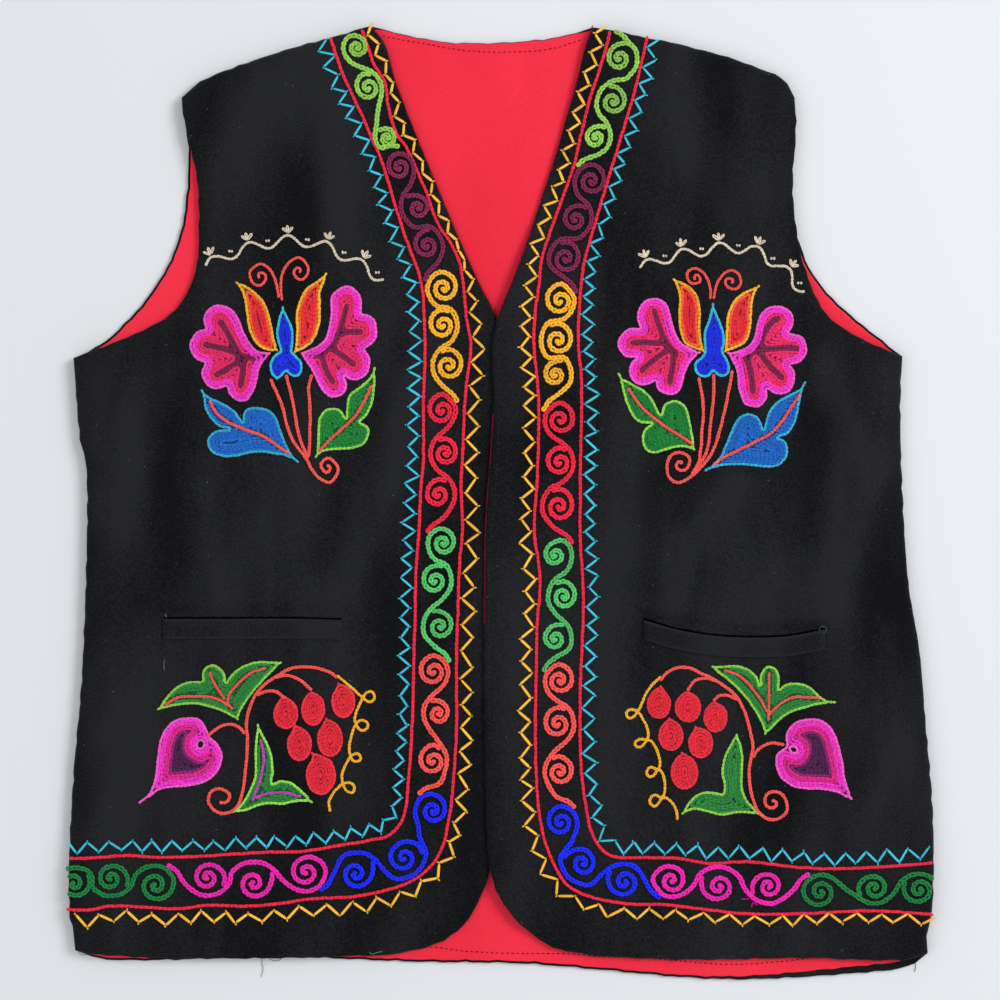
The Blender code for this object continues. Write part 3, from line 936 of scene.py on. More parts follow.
def chain(path, pitch, width, radius, colour, lift=0.0, overlap=1.35, wander=0.12 * MM):
    """Rows for a chain of loops along a path, each loop a little different."""
    points = even_points(path, pitch)
    points = points + rng.normal(0, wander, points.shape)
    middle = (points[1:] + points[:-1]) / 2
    steps = np.diff(points, axis=0)
    count = len(steps)
    turn = np.arctan2(steps[:, 1], steps[:, 0]) + rng.normal(0, HAND_TURN, count)
    length = np.linalg.norm(steps, axis=1) * overlap * rng.normal(1, HAND_SHARE, count)
    shade = rng.normal(1, HAND_SHARE, count) * rng.normal(1, HAND_SHARE)
    rows = np.empty((count, COLUMNS))
    rows[:, 0:2] = middle
    rows[:, 2] = turn
    rows[:, 3] = length
    rows[:, 4] = width * rng.normal(1, HAND_SHARE, count)
    rows[:, 5] = radius
    rows[:, 6] = lift + rng.uniform(0, HAND_LIFT, count)
    rows[:, 7:10] = np.clip(np.array(colour) * shade[:, None], 0, 1)
    return rows


def from_screen(red, green, blue):
    """A linear colour from the 0 to 255 values seen on the screen."""
    values = np.array([red, green, blue]) / 255
    return np.where(values <= 0.04045, values / 12.92, ((values + 0.055) / 1.055) ** 2.4)


# %% Thread colours
LIGHT_GREEN = from_screen(150, 206, 86)
MAROON = from_screen(135, 28, 80)
GOLD = from_screen(250, 185, 40)
RED = from_screen(244, 32, 68)
GREEN = from_screen(88, 198, 108)
CORAL = from_screen(252, 92, 84)
BLUE = from_screen(4, 36, 250)
MAGENTA = from_screen(244, 28, 182)
DARK_GREEN = from_screen(8, 128, 60)
SKY = from_screen(58, 196, 224)
YELLOW = from_screen(252, 192, 58)
HOT_PINK = from_screen(255, 52, 212)
PALE_PINK = from_screen(252, 98, 212)
PINK_RED = from_screen(242, 42, 112)
CREAM = from_screen(225, 213, 192)
VIOLET = from_screen(205, 70, 200)
BLOCK_COLOURS = [LIGHT_GREEN, MAROON, GOLD, RED, GREEN, CORAL, BLUE, MAGENTA, DARK_GREEN]

# %% [markdown]
# ## The border
# Two red lines follow the front edge from the shoulder to the side. Between them runs a
# row of scrolls in blocks of one colour: one wave goes the length of the border, passing
# each scroll on one side and the next on the other, and every scroll branches off it and
# winds inward. Outside the red lines a zigzag of long stitches runs on each side.
# The lines and the scroll centres are placed from the photograph, row by row, because a
# hand embroiderer follows no ruler.

# %% Border lines, in the photograph's pixels (x, y)
RIGHT_OUTER_LINE = [
    (331, 39), (342, 72), (353, 97), (364, 120), (372, 139), (382, 162), (393, 198),
    (405, 236), (415, 263), (421, 281), (424, 312), (425, 352), (423.5, 405), (423.5, 457),
    (420.5, 495), (419, 530), (416, 572), (415, 613), (414, 663), (412, 730), (408, 785),
    (406.5, 803), (403, 818), (395, 830), (386, 836), (373, 839), (340, 845), (300, 851),
    (270, 851.5), (234, 853.5), (194, 856), (154, 856.5), (127, 854.5), (100, 856.5),
    (66, 857.5),
]
RIGHT_INNER_LINE = [
    (361, 27), (368.5, 49), (375, 67), (385, 83), (389, 110), (397, 135), (407, 149),
    (417, 171), (427.5, 196), (432.6, 211.4), (439.5, 227), (452, 246), (459.8, 264),
    (463, 283), (464.5, 297),
    (467, 322), (471, 343), (469.5, 361), (465.5, 393), (464, 419), (462.5, 455),
    (461, 486), (462.5, 530), (459.5, 564), (458, 605), (456.5, 660), (456.5, 729),
    (453, 785), (449, 817), (443, 844), (434, 862), (420, 875), (404, 884), (380, 891),
    (353, 896), (307, 898.5), (287, 902), (247, 905.5), (207, 904.5), (181, 908),
    (154, 907), (127, 905), (108, 905.5), (87, 909), (64, 908),
]
LEFT_OUTER_LINE = [
    (647, 38), (639, 72), (630, 107), (619, 143), (608, 179), (598, 213), (591, 236),
    (584, 262), (581, 284), (579, 310), (578, 345), (581, 375), (581, 430), (580, 470),
    (580, 510), (580, 540), (583, 590), (582, 640), (580, 690), (580, 745), (582, 781),
    (586, 806), (590, 828), (599, 846), (613, 856), (640, 857), (680, 858), (708, 863),
    (745, 861), (790, 866), (830, 868), (880, 866), (940, 861),
]
LEFT_INNER_LINE = [
    (611, 28), (602, 62), (592, 92), (583, 126), (573, 168), (561, 202), (548, 238),
    (541, 262), (539, 285), (535, 312), (534, 345), (538, 390), (538.5, 430), (537, 480),
    (534, 530), (538, 560), (540, 585), (537, 625), (536, 680), (535, 730), (536, 770),
    (539, 812), (546, 845), (557, 870), (569, 886), (590, 896), (625, 903), (665, 904),
    (700, 908), (745, 913), (800, 913), (860, 910), (900, 911), (936, 914),
]

# %% Scroll places, in the photograph's pixels
# Rows (centre x, centre y, the scroll's half width, the wave's distance from the centre)
RIGHT_SCROLLS = [
    (357, 48.8, 9.2, 13.6), (368.5, 88.5, 11, 13.4), (387.2, 139, 7.8, 11.6),
    (399.5, 168, 10.2, 14), (418, 208.5, 9.8, 16.6), (427, 246, 10.8, 15.8),
    (443.4, 288.5, 12.4, 16.1), (442.7, 325.5, 11.8, 14.8), (448.4, 366, 12.6, 15.8),
    (442, 410.5, 12.3, 13.6), (445, 453, 10.8, 14.6), (438.3, 494.5, 11.2, 16.4),
    (443, 543, 10.6, 15), (435, 580.5, 11.3, 16.4), (439.8, 626, 11.2, 16.6),
    (433.5, 671, 12.2, 14.8), (438, 713, 9.6, 14.6), (433, 760.5, 12.3, 14),
    (433, 810, 11.4, 17.6), (404, 857, 14.2, 19.4), (356, 873, 12.6, 21),
    (306.5, 871.5, 14.8, 19), (254, 882.5, 12.8, 21.5), (208, 877, 13, 18),
    (156, 884.5, 13.6, 19.6), (112, 877.5, 12.6, 17.4), (75.5, 882.5, 12, 16),
]
LEFT_SCROLLS = [
    (619, 59.5, 10.8, 18), (612.5, 102.5, 11, 15.8), (595.6, 138.5, 9, 14.4),
    (591, 181.5, 12, 16.4), (575, 219.8, 10.6, 16.2), (565, 259, 12.6, 16.3),
    (559.8, 301, 12.8, 14.4), (557.6, 340.5, 12.6, 16.8), (555, 375, 9.6, 16.4),
    (559.8, 420, 12.8, 15.4), (559.3, 462.5, 11.4, 14), (558.8, 506.3, 13, 16.8),
    (555, 555, 9.6, 16.8), (563, 596.3, 11.6, 15.2), (555, 638.6, 10, 16.4),
    (559.3, 680, 12.2, 14.6), (557.8, 723.2, 12.4, 16), (559.4, 771.3, 11.8, 15),
    (560.7, 821.5, 11.7, 16), (582, 862.5, 12.2, 19.6), (624, 881.3, 12.6, 18),
    (670.8, 879.7, 14, 16.6), (718.2, 885.8, 12.8, 19.6), (767.8, 885.8, 12, 17),
    (819.5, 891.2, 12.8, 17.2), (873, 887.2, 12, 15.4), (917.8, 888.5, 12, 15.8),
]
SCROLLS_IN_BLOCK = 3
TO_RIGHT, TO_LEFT = -1, 1

# %% Scrolls
SCROLL_WIDTH = 3.6 * MM
SCROLL_PITCH = 3.0 * MM
SCROLL_THREAD = 0.82 * MM
WAVE_REACH = math.radians(64)
SCROLL_START = math.radians(62)
END_STEP = 3.2 * PIXEL
WAVE_OPENING = 3.4 * PIXEL
# How a scroll winds in: rows (turns, share of its half width)
SCROLL_WINDING = [
    (0, 1.5), (0.08, 1.34), (0.2, 1.15), (0.33, 1.0), (0.58, 0.87), (0.83, 0.68),
    (1.08, 0.53), (1.33, 0.4), (1.58, 0.27), (1.83, 0.14), (1.95, 0.08),
]


def spun(centre, radius, angle):
    return centre + radius * np.array([math.cos(angle), math.sin(angle)])


def wave_knots(centres, headings, sides, table, i, parts, further=0.0, opens=WAVE_OPENING):
    """Points of the wave beside one scroll, from its back (-1) to its front (1)."""
    towards = headings[i] + sides[i] * math.pi / 2
    radius = table[i][3] * PIXEL + further
    return [
        spun(centres[i], radius + opens * part**2, towards - sides[i] * part * WAVE_REACH)
        for part in parts
    ]


def scroll_paths(table, outward_turn, tail):
    """The wave and the scrolls of a border, each path with its block's number."""
    centres = from_photo([row[:2] for row in table])
    ahead = np.gradient(centres, axis=0)
    headings = np.arctan2(ahead[:, 1], ahead[:, 0])
    sides = [outward_turn * (-1) ** i for i in range(len(table))]
    place = (centres, headings, sides, table)
    paths = []
    for block in range(0, len(table), SCROLLS_IN_BLOCK):
        end = block + SCROLLS_IN_BLOCK
        knots = [] if block else [*from_photo(tail)]
        # The right border's first wave ends short, or it would cross the yellow zigzag.
        is_short = block == 0 and outward_turn == TO_RIGHT
        for i in range(block, end):
            is_last = i == end - 1 and end < len(table)
            knots += wave_knots(*place, i, (-1, -0.5), opens=WAVE_OPENING * (i > block))
            knots += wave_knots(*place, i, (0, 0.5) if is_last else (0, 0.5, 1))
            if i + 1 < end:
                knots.append((centres[i] + centres[i + 1]) / 2)
        if end < len(table):
            parts = (-1.4, -1.05) if is_short else (-1.35, -0.9, -0.5)
            knots += wave_knots(*place, end, parts, END_STEP)
        paths.append((block // SCROLLS_IN_BLOCK, smooth_curve(knots, 0.5 * MM)))
    winding = np.array(SCROLL_WINDING)
    turns = np.linspace(0, winding[-1, 0], 90)
    for i, centre in enumerate(centres):
        start = headings[i] + sides[i] * (math.pi / 2 + SCROLL_START)
        shares = winding[:, 1] * table[i][2] * PIXEL
        shares[0] = table[i][3] * PIXEL
        if i % SCROLLS_IN_BLOCK:
            shares[0] += WAVE_OPENING - 3.5 * PIXEL
        radius = np.interp(turns, winding[:, 0], shares)
        angle = start + sides[i] * 2 * math.pi * turns
        offset = np.column_stack([np.cos(angle), np.sin(angle)]) * radius[:, None]
        paths.append((i // SCROLLS_IN_BLOCK, centre + offset))
    return paths


def scroll_rows(table, outward_turn, tail=()):
    rows = []
    for block, path in scroll_paths(table, outward_turn, np.reshape(tail, (-1, 2))):
        colour = BLOCK_COLOURS[block]
        rows.append(chain(path, SCROLL_PITCH, SCROLL_WIDTH, SCROLL_THREAD, colour, overlap=1.5))
    return np.concatenate(rows)


SHOULDER_TAIL = [(614.5, 32.5), (622.5, 37)]
right_scrolls = scroll_rows(RIGHT_SCROLLS, TO_RIGHT)
left_scrolls = scroll_rows(LEFT_SCROLLS, TO_LEFT, SHOULDER_TAIL)
stitch_mesh("right_border_scrolls", right_scrolls, right_front, scroll_loop)
stitch_mesh("left_border_scrolls", left_scrolls, left_front, scroll_loop)

# %% Red lines and zigzags
LINE_WIDTH = 2.25 * MM
LINE_PITCH = 3.0 * MM
LINE_THREAD = 0.6 * MM
SKY_THREAD = 0.45 * MM
YELLOW_THREAD = 0.52 * MM
TICK = 1.5 * MM
SWING_STRAY, PITCH_STRAY = 0.12, 0.09
EASING = 9
# Rows (share of the way down the line, distance from it, swing, pitch), in mm
RIGHT_SKY = [
    (0, 6.2, 7.3, 11.9), (0.22, 6.2, 7.3, 11.9), (0.3, 6.4, 7.6, 11.8), (0.6, 5.8, 6.2, 12.3),
    (0.7, 6.2, 6.5, 12.2), (0.78, 6.5, 6.9, 12.5), (1, 6.5, 6.8, 13.4),
]
RIGHT_YELLOW = [
    (0, 4.7, 4.4, 13.2), (0.2, 4.8, 4.8, 13.4), (0.27, 5.4, 7.2, 16.5), (0.45, 6.4, 7.8, 17.3),
    (0.6, 6.1, 6.6, 15), (0.7, 6.3, 6.8, 15.5), (0.78, 7.4, 7.2, 16), (1, 6.9, 7.6, 16),
]
LEFT_SKY = [
    (0, 4.8, 6.4, 11.4), (0.2, 4.8, 6.4, 11.4), (0.3, 6.6, 7.3, 11.4), (0.45, 6.4, 7.3, 11.8),
    (0.6, 5.2, 7.3, 13.3), (0.75, 6.2, 7.0, 13.4), (1, 6.2, 7.4, 13.4),
]
LEFT_YELLOW = [
    (0, 5.6, 6.1, 12.4), (0.2, 5.6, 6.2, 12.4), (0.3, 5.7, 6.8, 13.4), (0.5, 6.3, 7.0, 15),
    (0.65, 6.7, 7.0, 15), (0.75, 6.2, 6.0, 16), (0.88, 3.8, 5.8, 16), (1, 4.2, 5.8, 16),
]


def beside(path, distance):
    """A path moved sideways, to its left where the distance is positive."""
    ahead = np.gradient(path, axis=0)
    ahead /= np.linalg.norm(ahead, axis=1)[:, None]
    return path + np.column_stack([-ahead[:, 1], ahead[:, 0]]) * np.reshape(distance, (-1, 1))


def travelled(path):
    return np.concatenate([[0], np.cumsum(np.linalg.norm(np.diff(path, axis=0), axis=1))])


def kept_on(panel, spots, swings):
    """A zigzag's corners, each drawn in towards the line where it would leave the velvet."""
    ring = panel.outline.points + panel.outline.inward * 1.6 * MM
    shares = np.linspace(1, -1.2, 12)
    tries = spots[:, None] + swings[:, None] * shares[:, None]
    inside = is_inside(tries.reshape(-1, 2), ring).reshape(len(spots), len(shares))
    return tries[np.arange(len(spots)), np.argmax(inside, axis=1)]


def zigzag(line, side, shape, colour, radius, panel):
    """Long stitches from side to side beside a line, with a small tick at each corner."""
    path = smooth_curve(from_photo(line), 1 * MM)
    share = travelled(path) / travelled(path)[-1]
    shape = np.array(shape)
    path = beside(path, side * np.interp(share, shape[:, 0], shape[:, 1]) * MM)
    even = np.ones(EASING) / EASING
    middle = np.column_stack([np.convolve(path[:, i], even, "same") for i in range(2)])
    clear = EASING // 2
    path[clear:-clear] = middle[clear:-clear]
    lengths = travelled(path)
    across = beside(path, 1.0) - path
    at = 0.0
    swing_side = 1
    spots, swings = [], []
    while at < lengths[-1]:
        spot = np.array([np.interp(at, lengths, path[:, i]) for i in range(2)])
        way = np.array([np.interp(at, lengths, across[:, i]) for i in range(2)])
        swing, pitch = (np.interp(at / lengths[-1], shape[:, 0], shape[:, i]) for i in (2, 3))
        spots.append(spot)
        swings.append(way * swing_side * swing * MM / 2 * rng.normal(1, SWING_STRAY))
        at += pitch * MM / 2 * rng.normal(1, PITCH_STRAY)
        swing_side = -swing_side
    swings = np.array(swings)
    corners = kept_on(panel, np.array(spots), swings)
    outward = swings / np.linalg.norm(swings, axis=1)[:, None]
    rows = []
    for start, end in zip(corners, corners[1:]):
        leg = np.array([start, end])
        rows.append(chain(leg, 1.0, 3.5 * radius, radius, colour, overlap=1.08))
    for corner, way in zip(corners, outward):
        tick = np.array([corner - way * 0.3 * TICK, corner + way * TICK * rng.uniform(0.5, 1.1)])
        rows.append(chain(tick, 1.0, 2.2 * radius, 0.8 * radius, colour, 0.1 * MM, 1.0))
    return np.concatenate(rows)


def border_rows(outer, inner, outward_turn, sky, yellow, panel):
    rows = []
    for line in (outer, inner):
        path = smooth_curve(from_photo(line), 1 * MM)
        rows.append(chain(path, LINE_PITCH, LINE_WIDTH, LINE_THREAD, RED, overlap=1.45))
    rows.append(zigzag(outer, outward_turn, sky, SKY, SKY_THREAD, panel))
    rows.append(zigzag(inner, -outward_turn, yellow, YELLOW, YELLOW_THREAD, panel))
    return np.concatenate(rows)


right_border = border_rows(
    RIGHT_OUTER_LINE, RIGHT_INNER_LINE, TO_RIGHT, RIGHT_SKY, RIGHT_YELLOW, right_front
)
left_border = border_rows(
    LEFT_OUTER_LINE, LEFT_INNER_LINE, TO_LEFT, LEFT_SKY, LEFT_YELLOW, left_front
)
stitch_mesh("right_border_lines", right_border, right_front, fill_loop)
stitch_mesh("left_border_lines", left_border, left_front, fill_loop)

# %% [markdown]
# ## Filled shapes
# A petal or a leaf is filled by rows of small chain stitches that echo its outline, from
# the edge to the middle, and the colour changes with the row. So the filling is worked out
# the same way: the distance to the outline is measured on a fine grid, and each row of
# stitches follows one level of that distance, as a contour line follows a hill. Lines that
# lie over a filling, such as ribs, leave a clear path in it.

# %% Contour rows
GRID = 0.4 * MM
SHARP_TURN = math.radians(50)


def closed_curve(rows):
    """A smooth closed ring through points, which stays sharp at its corners."""
    points = from_photo(rows)
    before = points - np.roll(points, 1, axis=0)
    after = np.roll(points, -1, axis=0) - points
    turn = np.arctan2(
        before[:, 0] * after[:, 1] - before[:, 1] * after[:, 0], (before * after).sum(1)
    )
    corners = np.nonzero(abs(turn) > SHARP_TURN)[0]
    start = corners[0] if len(corners) else 0
    points = np.roll(points, -start, axis=0)
    points = np.concatenate([points, points[:1]])
    stops = [*((corners - start) % (len(points) - 1)), len(points) - 1] if len(corners) else []
    stops = stops or [0, len(points) - 1]
    stretches = [
        smooth_curve(points[a : b + 1], 1.0 * MM)[:-1] for a, b in zip(stops, stops[1:])
    ]
    return np.concatenate(stretches)


def ring_distance(spots, ring):
    return segment_distance(spots, ring, np.roll(ring, -1, axis=0))


def contour_loops(values, level, low):
    """Closed loops where the grid's values cross a level, in metres."""
    above = values > level
    corner = above[:-1, :-1].astype(int) + above[1:, :-1] + above[1:, 1:] + above[:-1, 1:]
    links = {}
    for i, j in zip(*np.nonzero((corner > 0) & (corner < 4))):
        a, b, c, d = (i, j), (i + 1, j), (i + 1, j + 1), (i, j + 1)
        square = ((a, b), (b, c), (d, c), (a, d))
        sides = [side for side in square if above[side[0]] != above[side[1]]]
        for one, other in zip(sides[::2], sides[1::2]):
            links.setdefault(one, []).append(other)
            links.setdefault(other, []).append(one)
    loops = []
    while links:
        here = next(iter(links))
        loop = []
        while here in links:
            loop.append(here)
            ways = links.pop(here)
            here = next((way for way in ways if way in links), None)
        places = []
        for one, other in loop:
            share = (level - values[one]) / (values[other] - values[one])
            places.append(np.array(one) + share * (np.array(other) - np.array(one)))
        places.append(places[0])
        loops.append(low + np.array(places) * GRID)
    return loops


# %% Filling and drawn lines
FILL_ROW = 1.65 * MM
FILL_PITCH = 2.7 * MM
FILL_WIDTH = 1.9 * MM
FILL_THREAD = 0.47 * MM
LINE_CLEARANCE = 1.6 * MM
SMALLEST_LOOP = 3.5 * MM
DEEPEST = 99
TIP_BEND = 0.25
VEIN_DEPTH = 4.5 * MM
VEIN_WIDTH = 1.9 * MM
TIP_WIDTH = 1.7 * MM
PADDING_SHADE = 0.45
# Length, width, thread radius and lift of a padding stitch
PADDING_SIZE = np.array([4.0, 3.2, 0.7, -0.55]) * MM
PADDING_STEP = 6
PADDING_INSET = 1.3 * MM


def echo_rows(values, low, levels, bands, width=FILL_WIDTH):
    """Chains along each level of a grid of depths; bands are rows (depth in mm, colour)."""
    rows = []
    for level in levels:
        colour = band_colour(bands, level)
        for loop in contour_loops(values, level, low):
            if np.linalg.norm(np.diff(loop, axis=0), axis=1).sum() > SMALLEST_LOOP:
                thread = FILL_THREAD * math.sqrt(width / FILL_WIDTH)
                rows.append(chain(loop, FILL_PITCH, width, thread, colour))
    return np.concatenate(rows) if rows else np.empty((0, COLUMNS))


def tip_rows(outline, colour):
    """A narrow stitch out to each sharp tip, which the rounded rows don't reach."""
    points = from_photo(outline)
    before = points - np.roll(points, 1, axis=0)
    after = np.roll(points, -1, axis=0) - points
    before /= np.linalg.norm(before, axis=1)[:, None]
    after /= np.linalg.norm(after, axis=1)[:, None]
    x, y = points.T
    way_round = np.sign(np.sum(x * np.roll(y, -1) - y * np.roll(x, -1)))
    bend = way_round * (before[:, 0] * after[:, 1] - before[:, 1] * after[:, 0])
    rows = [np.empty((0, COLUMNS))]
    for i in np.nonzero((bend > 0) & ((before * after).sum(1) < TIP_BEND))[0]:
        inward = after[i] - before[i]
        inward /= np.linalg.norm(inward)
        half_angle = math.acos(-before[i] @ after[i]) / 2
        reach = min(10 * MM, (0.45 * FILL_ROW + 0.5 * MM) / math.sin(half_angle))
        line = np.array([points[i] + 0.2 * MM * inward, points[i] + reach * inward])
        rows.append(chain(line, 2.2 * MM, TIP_WIDTH, 0.45 * MM, colour, wander=0))
    return np.concatenate(rows)


def padding(spots, colours):
    """Flat stitches below a filling, in its own colours, darker as they lie in shade."""
    rows = np.empty((len(spots), COLUMNS))
    rows[:, :2] = spots
    rows[:, 2] = rng.uniform(0, math.pi, len(spots))
    rows[:, 3:7] = PADDING_SIZE
    rows[:, 7:10] = PADDING_SHADE * colours
    return rows


def band_colour(bands, depth):
    return next((colour for limit, colour in bands if depth < limit * MM), bands[-1][1])


def filling(outline, bands, lines=(), holes=(), veins=(), edge=FILL_WIDTH):
    """Echo rows inside an outline, with vein rows in its middle where veins are given."""
    ring = closed_curve(outline)
    walls = [ring, *(closed_curve(hole) for hole in holes)]
    low = ring.min(0) - 2 * GRID
    counts = np.ceil((ring.max(0) + 2 * GRID - low) / GRID).astype(int)
    x, y = np.meshgrid(np.arange(counts[0]), np.arange(counts[1]), indexing="ij")
    spots = low + np.column_stack([x.ravel(), y.ravel()]) * GRID
    gap = np.min([ring_distance(spots, wall) for wall in walls], axis=0)
    inside = is_inside(spots, ring)
    for wall in walls[1:]:
        inside &= ~is_inside(spots, wall)
    values = np.where(inside, gap, -gap).reshape(counts)
    first = 0.39 * edge
    second = first + edge / 2 + 0.42 * FILL_ROW
    deepest = VEIN_DEPTH if veins else values.max()
    edge_rows = echo_rows(values, low, [first], bands, edge)
    rows = echo_rows(values, low, np.arange(second, deepest, FILL_ROW), bands)
    column, half = x.ravel() // PADDING_STEP % 2, PADDING_STEP // 2
    base = x.ravel() % PADDING_STEP == 0
    base &= (y.ravel() + half * column) % PADDING_STEP == 0
    base &= values.ravel() > PADDING_INSET
    colours = np.array([band_colour(bands, depth) for depth in gap[base]]).reshape(-1, 3)
    if veins:
        paths = [smooth_curve(from_photo(vein), 1 * MM) for vein in veins]
        starts = np.concatenate([path[:-1] for path in paths])
        ends = np.concatenate([path[1:] for path in paths])
        beside_veins = np.where(inside, segment_distance(spots, starts, ends), FAR)
        levels = np.arange(0.9 * MM, beside_veins[gap > VEIN_DEPTH].max(), FILL_ROW)
        vein_bands = [(VEIN_WIDTH / MM, MAROON), (DEEPEST, PINK_RED)]
        middle = echo_rows(beside_veins.reshape(counts), low, levels, vein_bands)
        deep = ring_distance(middle[:, :2], ring) > VEIN_DEPTH
        rows = np.concatenate([rows, middle[deep & is_inside(middle[:, :2], ring)]])
        colours[gap[base] > VEIN_DEPTH] = PINK_RED
        colours[beside_veins[base] < VEIN_WIDTH] = MAROON
    for line in lines:
        path = smooth_curve(from_photo(line), 1 * MM)
        rows = rows[segment_distance(rows[:, :2], path[:-1], path[1:]) > LINE_CLEARANCE]
    return np.concatenate([
        edge_rows, rows, tip_rows(outline, bands[0][1]), padding(spots[base], colours),
    ])


STEM_WIDTH = 2.4 * MM
STEM_PITCH = 2.4 * MM
STEM_THREAD = 0.55 * MM


def drawn(rows, colour, width=STEM_WIDTH, lift=0.0):
    """A line of chain stitch along a smooth curve."""
    path = smooth_curve(from_photo(rows), 0.6 * MM)
    radius = STEM_THREAD * width / STEM_WIDTH
    return chain(path, STEM_PITCH, width, radius, colour, lift)


# %% [markdown]
# ## The flower and its leaves
# On each chest a sprig grows from two stems: two blossoms whose pink rows deepen to maroon,
# two pointed orange petals with a blue heart between them, a blue leaf and a green one.
# The listed points shape each outline. The left front has the same sprig turned over, but
# it was drawn afresh there and came out a little different, so it has a table of its own.

# %% Flower outlines, in the photograph's pixels (x, y)
RIGHT_FLOWER = {
    "near_blossom": [
        (271, 353), (258, 351), (250, 343), (244, 332), (239, 319), (234, 311), (226, 306),
        (217, 305), (209, 309), (204, 317), (204, 324), (207, 329), (199, 331), (193, 337),
        (190, 345), (192, 353), (197, 360), (206, 363), (202, 371), (203, 379), (208, 386),
        (216, 389.5), (224, 388), (227.5, 386), (228, 392), (234, 399), (240, 402),
        (248, 400), (254, 392), (258, 380), (260, 368), (266, 359),
    ],
    "far_blossom": [
        (301, 353), (314, 348), (322, 343), (327, 335), (330, 323), (331, 309), (331, 297),
        (337, 290), (347, 286), (355, 289), (361, 297), (362, 308), (361, 314), (369, 315),
        (375, 320), (377, 328), (377, 337), (371.5, 345), (364, 349), (369.5, 356),
        (370, 367), (366, 376), (358, 380), (350, 379.5), (344, 375.5), (347, 383),
        (346, 391), (339, 397), (331, 398), (325, 394), (318, 384), (313, 372), (307, 363),
    ],
    "near_petal": [
        (236, 282), (244, 285), (255, 292), (264, 301), (269, 313), (272, 325), (275, 340),
        (278, 351), (268, 351), (259, 347), (252, 337), (248, 324), (246, 309), (243, 294),
    ],
    "far_petal": [
        (327, 273), (319, 280), (307, 288), (300, 300), (296.5, 313), (296.5, 329),
        (296, 343), (294.5, 353), (306, 348), (315, 339), (320, 325), (321, 309),
        (321, 292), (325, 281),
    ],
    "heart": [
        (283, 306.5), (280, 315), (277, 327), (277, 339), (281, 351), (274, 356), (270, 364),
        (271, 373.5), (277, 380), (283, 376), (286, 371), (290, 376), (296.5, 378),
        (302.5, 372), (302.5, 363), (296.5, 356), (292, 351), (294, 340), (292.5, 327),
        (287, 315),
    ],
    "blue_leaf": [
        (201.5, 389.5), (204, 400), (206, 411), (212, 420), (220, 427), (231, 429),
        (219, 430), (210, 435), (207.5, 443), (211.5, 452), (221.5, 456.5), (234, 457),
        (247, 454), (260, 452.5), (274, 454), (287, 456.5), (299, 462.5), (290, 451),
        (283, 435), (278, 420), (272, 412), (264, 408), (255, 407), (247, 409), (243, 415),
        (244, 423), (239, 416), (234, 410), (223, 403), (211, 398),
    ],
    "blue_rib": [
        (210, 401), (217.5, 414), (230, 423), (247, 430), (263, 436),
        (276, 444.5), (289, 453.5),
    ],
    "green_leaf": [
        (375, 367), (370, 377.5), (359.5, 387), (349, 395), (347, 404), (346, 419),
        (342, 411), (334, 408), (325, 410), (319, 419), (318, 432), (317, 450),
        (315.5, 458), (322, 452.5), (334, 450), (350, 449), (363.5, 445), (369.5, 435),
        (369, 427), (363.5, 423), (359.5, 423), (367.5, 415), (373, 403), (375, 388),
        (375.5, 375),
    ],
    "green_rib": [
        (371.5, 385.5), (363.5, 403), (354, 418), (343, 428), (330, 440),
        (319, 451.5),
    ],
    "near_feeler": [
        (279, 298), (277, 285.3), (271.2, 271.2), (260.7, 264.2), (250.2, 272.6),
        (253, 283.2), (260.7, 286), (266.3, 279.6), (264.2, 273.3), (258.6, 274),
        (259.3, 278.2),
    ],
    "far_feeler": [
        (282.4, 300.7), (281, 286.7), (283.1, 272.6), (290.8, 261.4), (300.7, 258),
        (308.5, 268.4), (306.5, 276.8), (300, 280.3), (293.7, 274), (297.2, 267.7),
        (301.4, 269.8), (300, 273.3),
    ],
    "near_stem": [
        (271, 379), (276, 391), (283, 407), (286, 422), (294, 442), (307.7, 460.6),
        (311.9, 469), (320.3, 478.9), (331, 482), (338.5, 469), (328.7, 457.8),
        (321, 464.9), (326.6, 473.3), (331.5, 467.7), (327.3, 465.6),
    ],
    "middle_stem": [
        (286, 375), (291, 392), (295, 412), (298, 430), (302, 444), (309, 458),
    ],
    "far_stem": [(312, 375), (309, 388), (310.5, 410), (310, 439), (309, 456.5)],
    "near_vein": [(255, 359), (241.7, 356), (234.7, 345.6), (227.7, 333), (220.7, 322.4)],
    "near_vein_middle": [(241.7, 356.8), (227.7, 349.8), (215.1, 347), (206, 344.9)],
    "near_vein_lower": [(241.7, 359.6), (229.1, 368), (217.2, 375.1)],
    "near_vein_inner": [(243.1, 359), (243.1, 372.2), (241, 386.3)],
    "far_vein": [(314.7, 356.8), (331.5, 347), (338.6, 335.8), (344.2, 317.5), (347, 306.3)],
    "far_vein_middle": [(338.6, 334.4), (348.4, 332.3), (361, 332.3)],
    "far_vein_lower": [(332.2, 348.4), (341.4, 355.4), (354, 364.5)],
    "far_vein_inner": [(321.7, 355), (325.9, 369.4), (332.9, 382.1)],
}
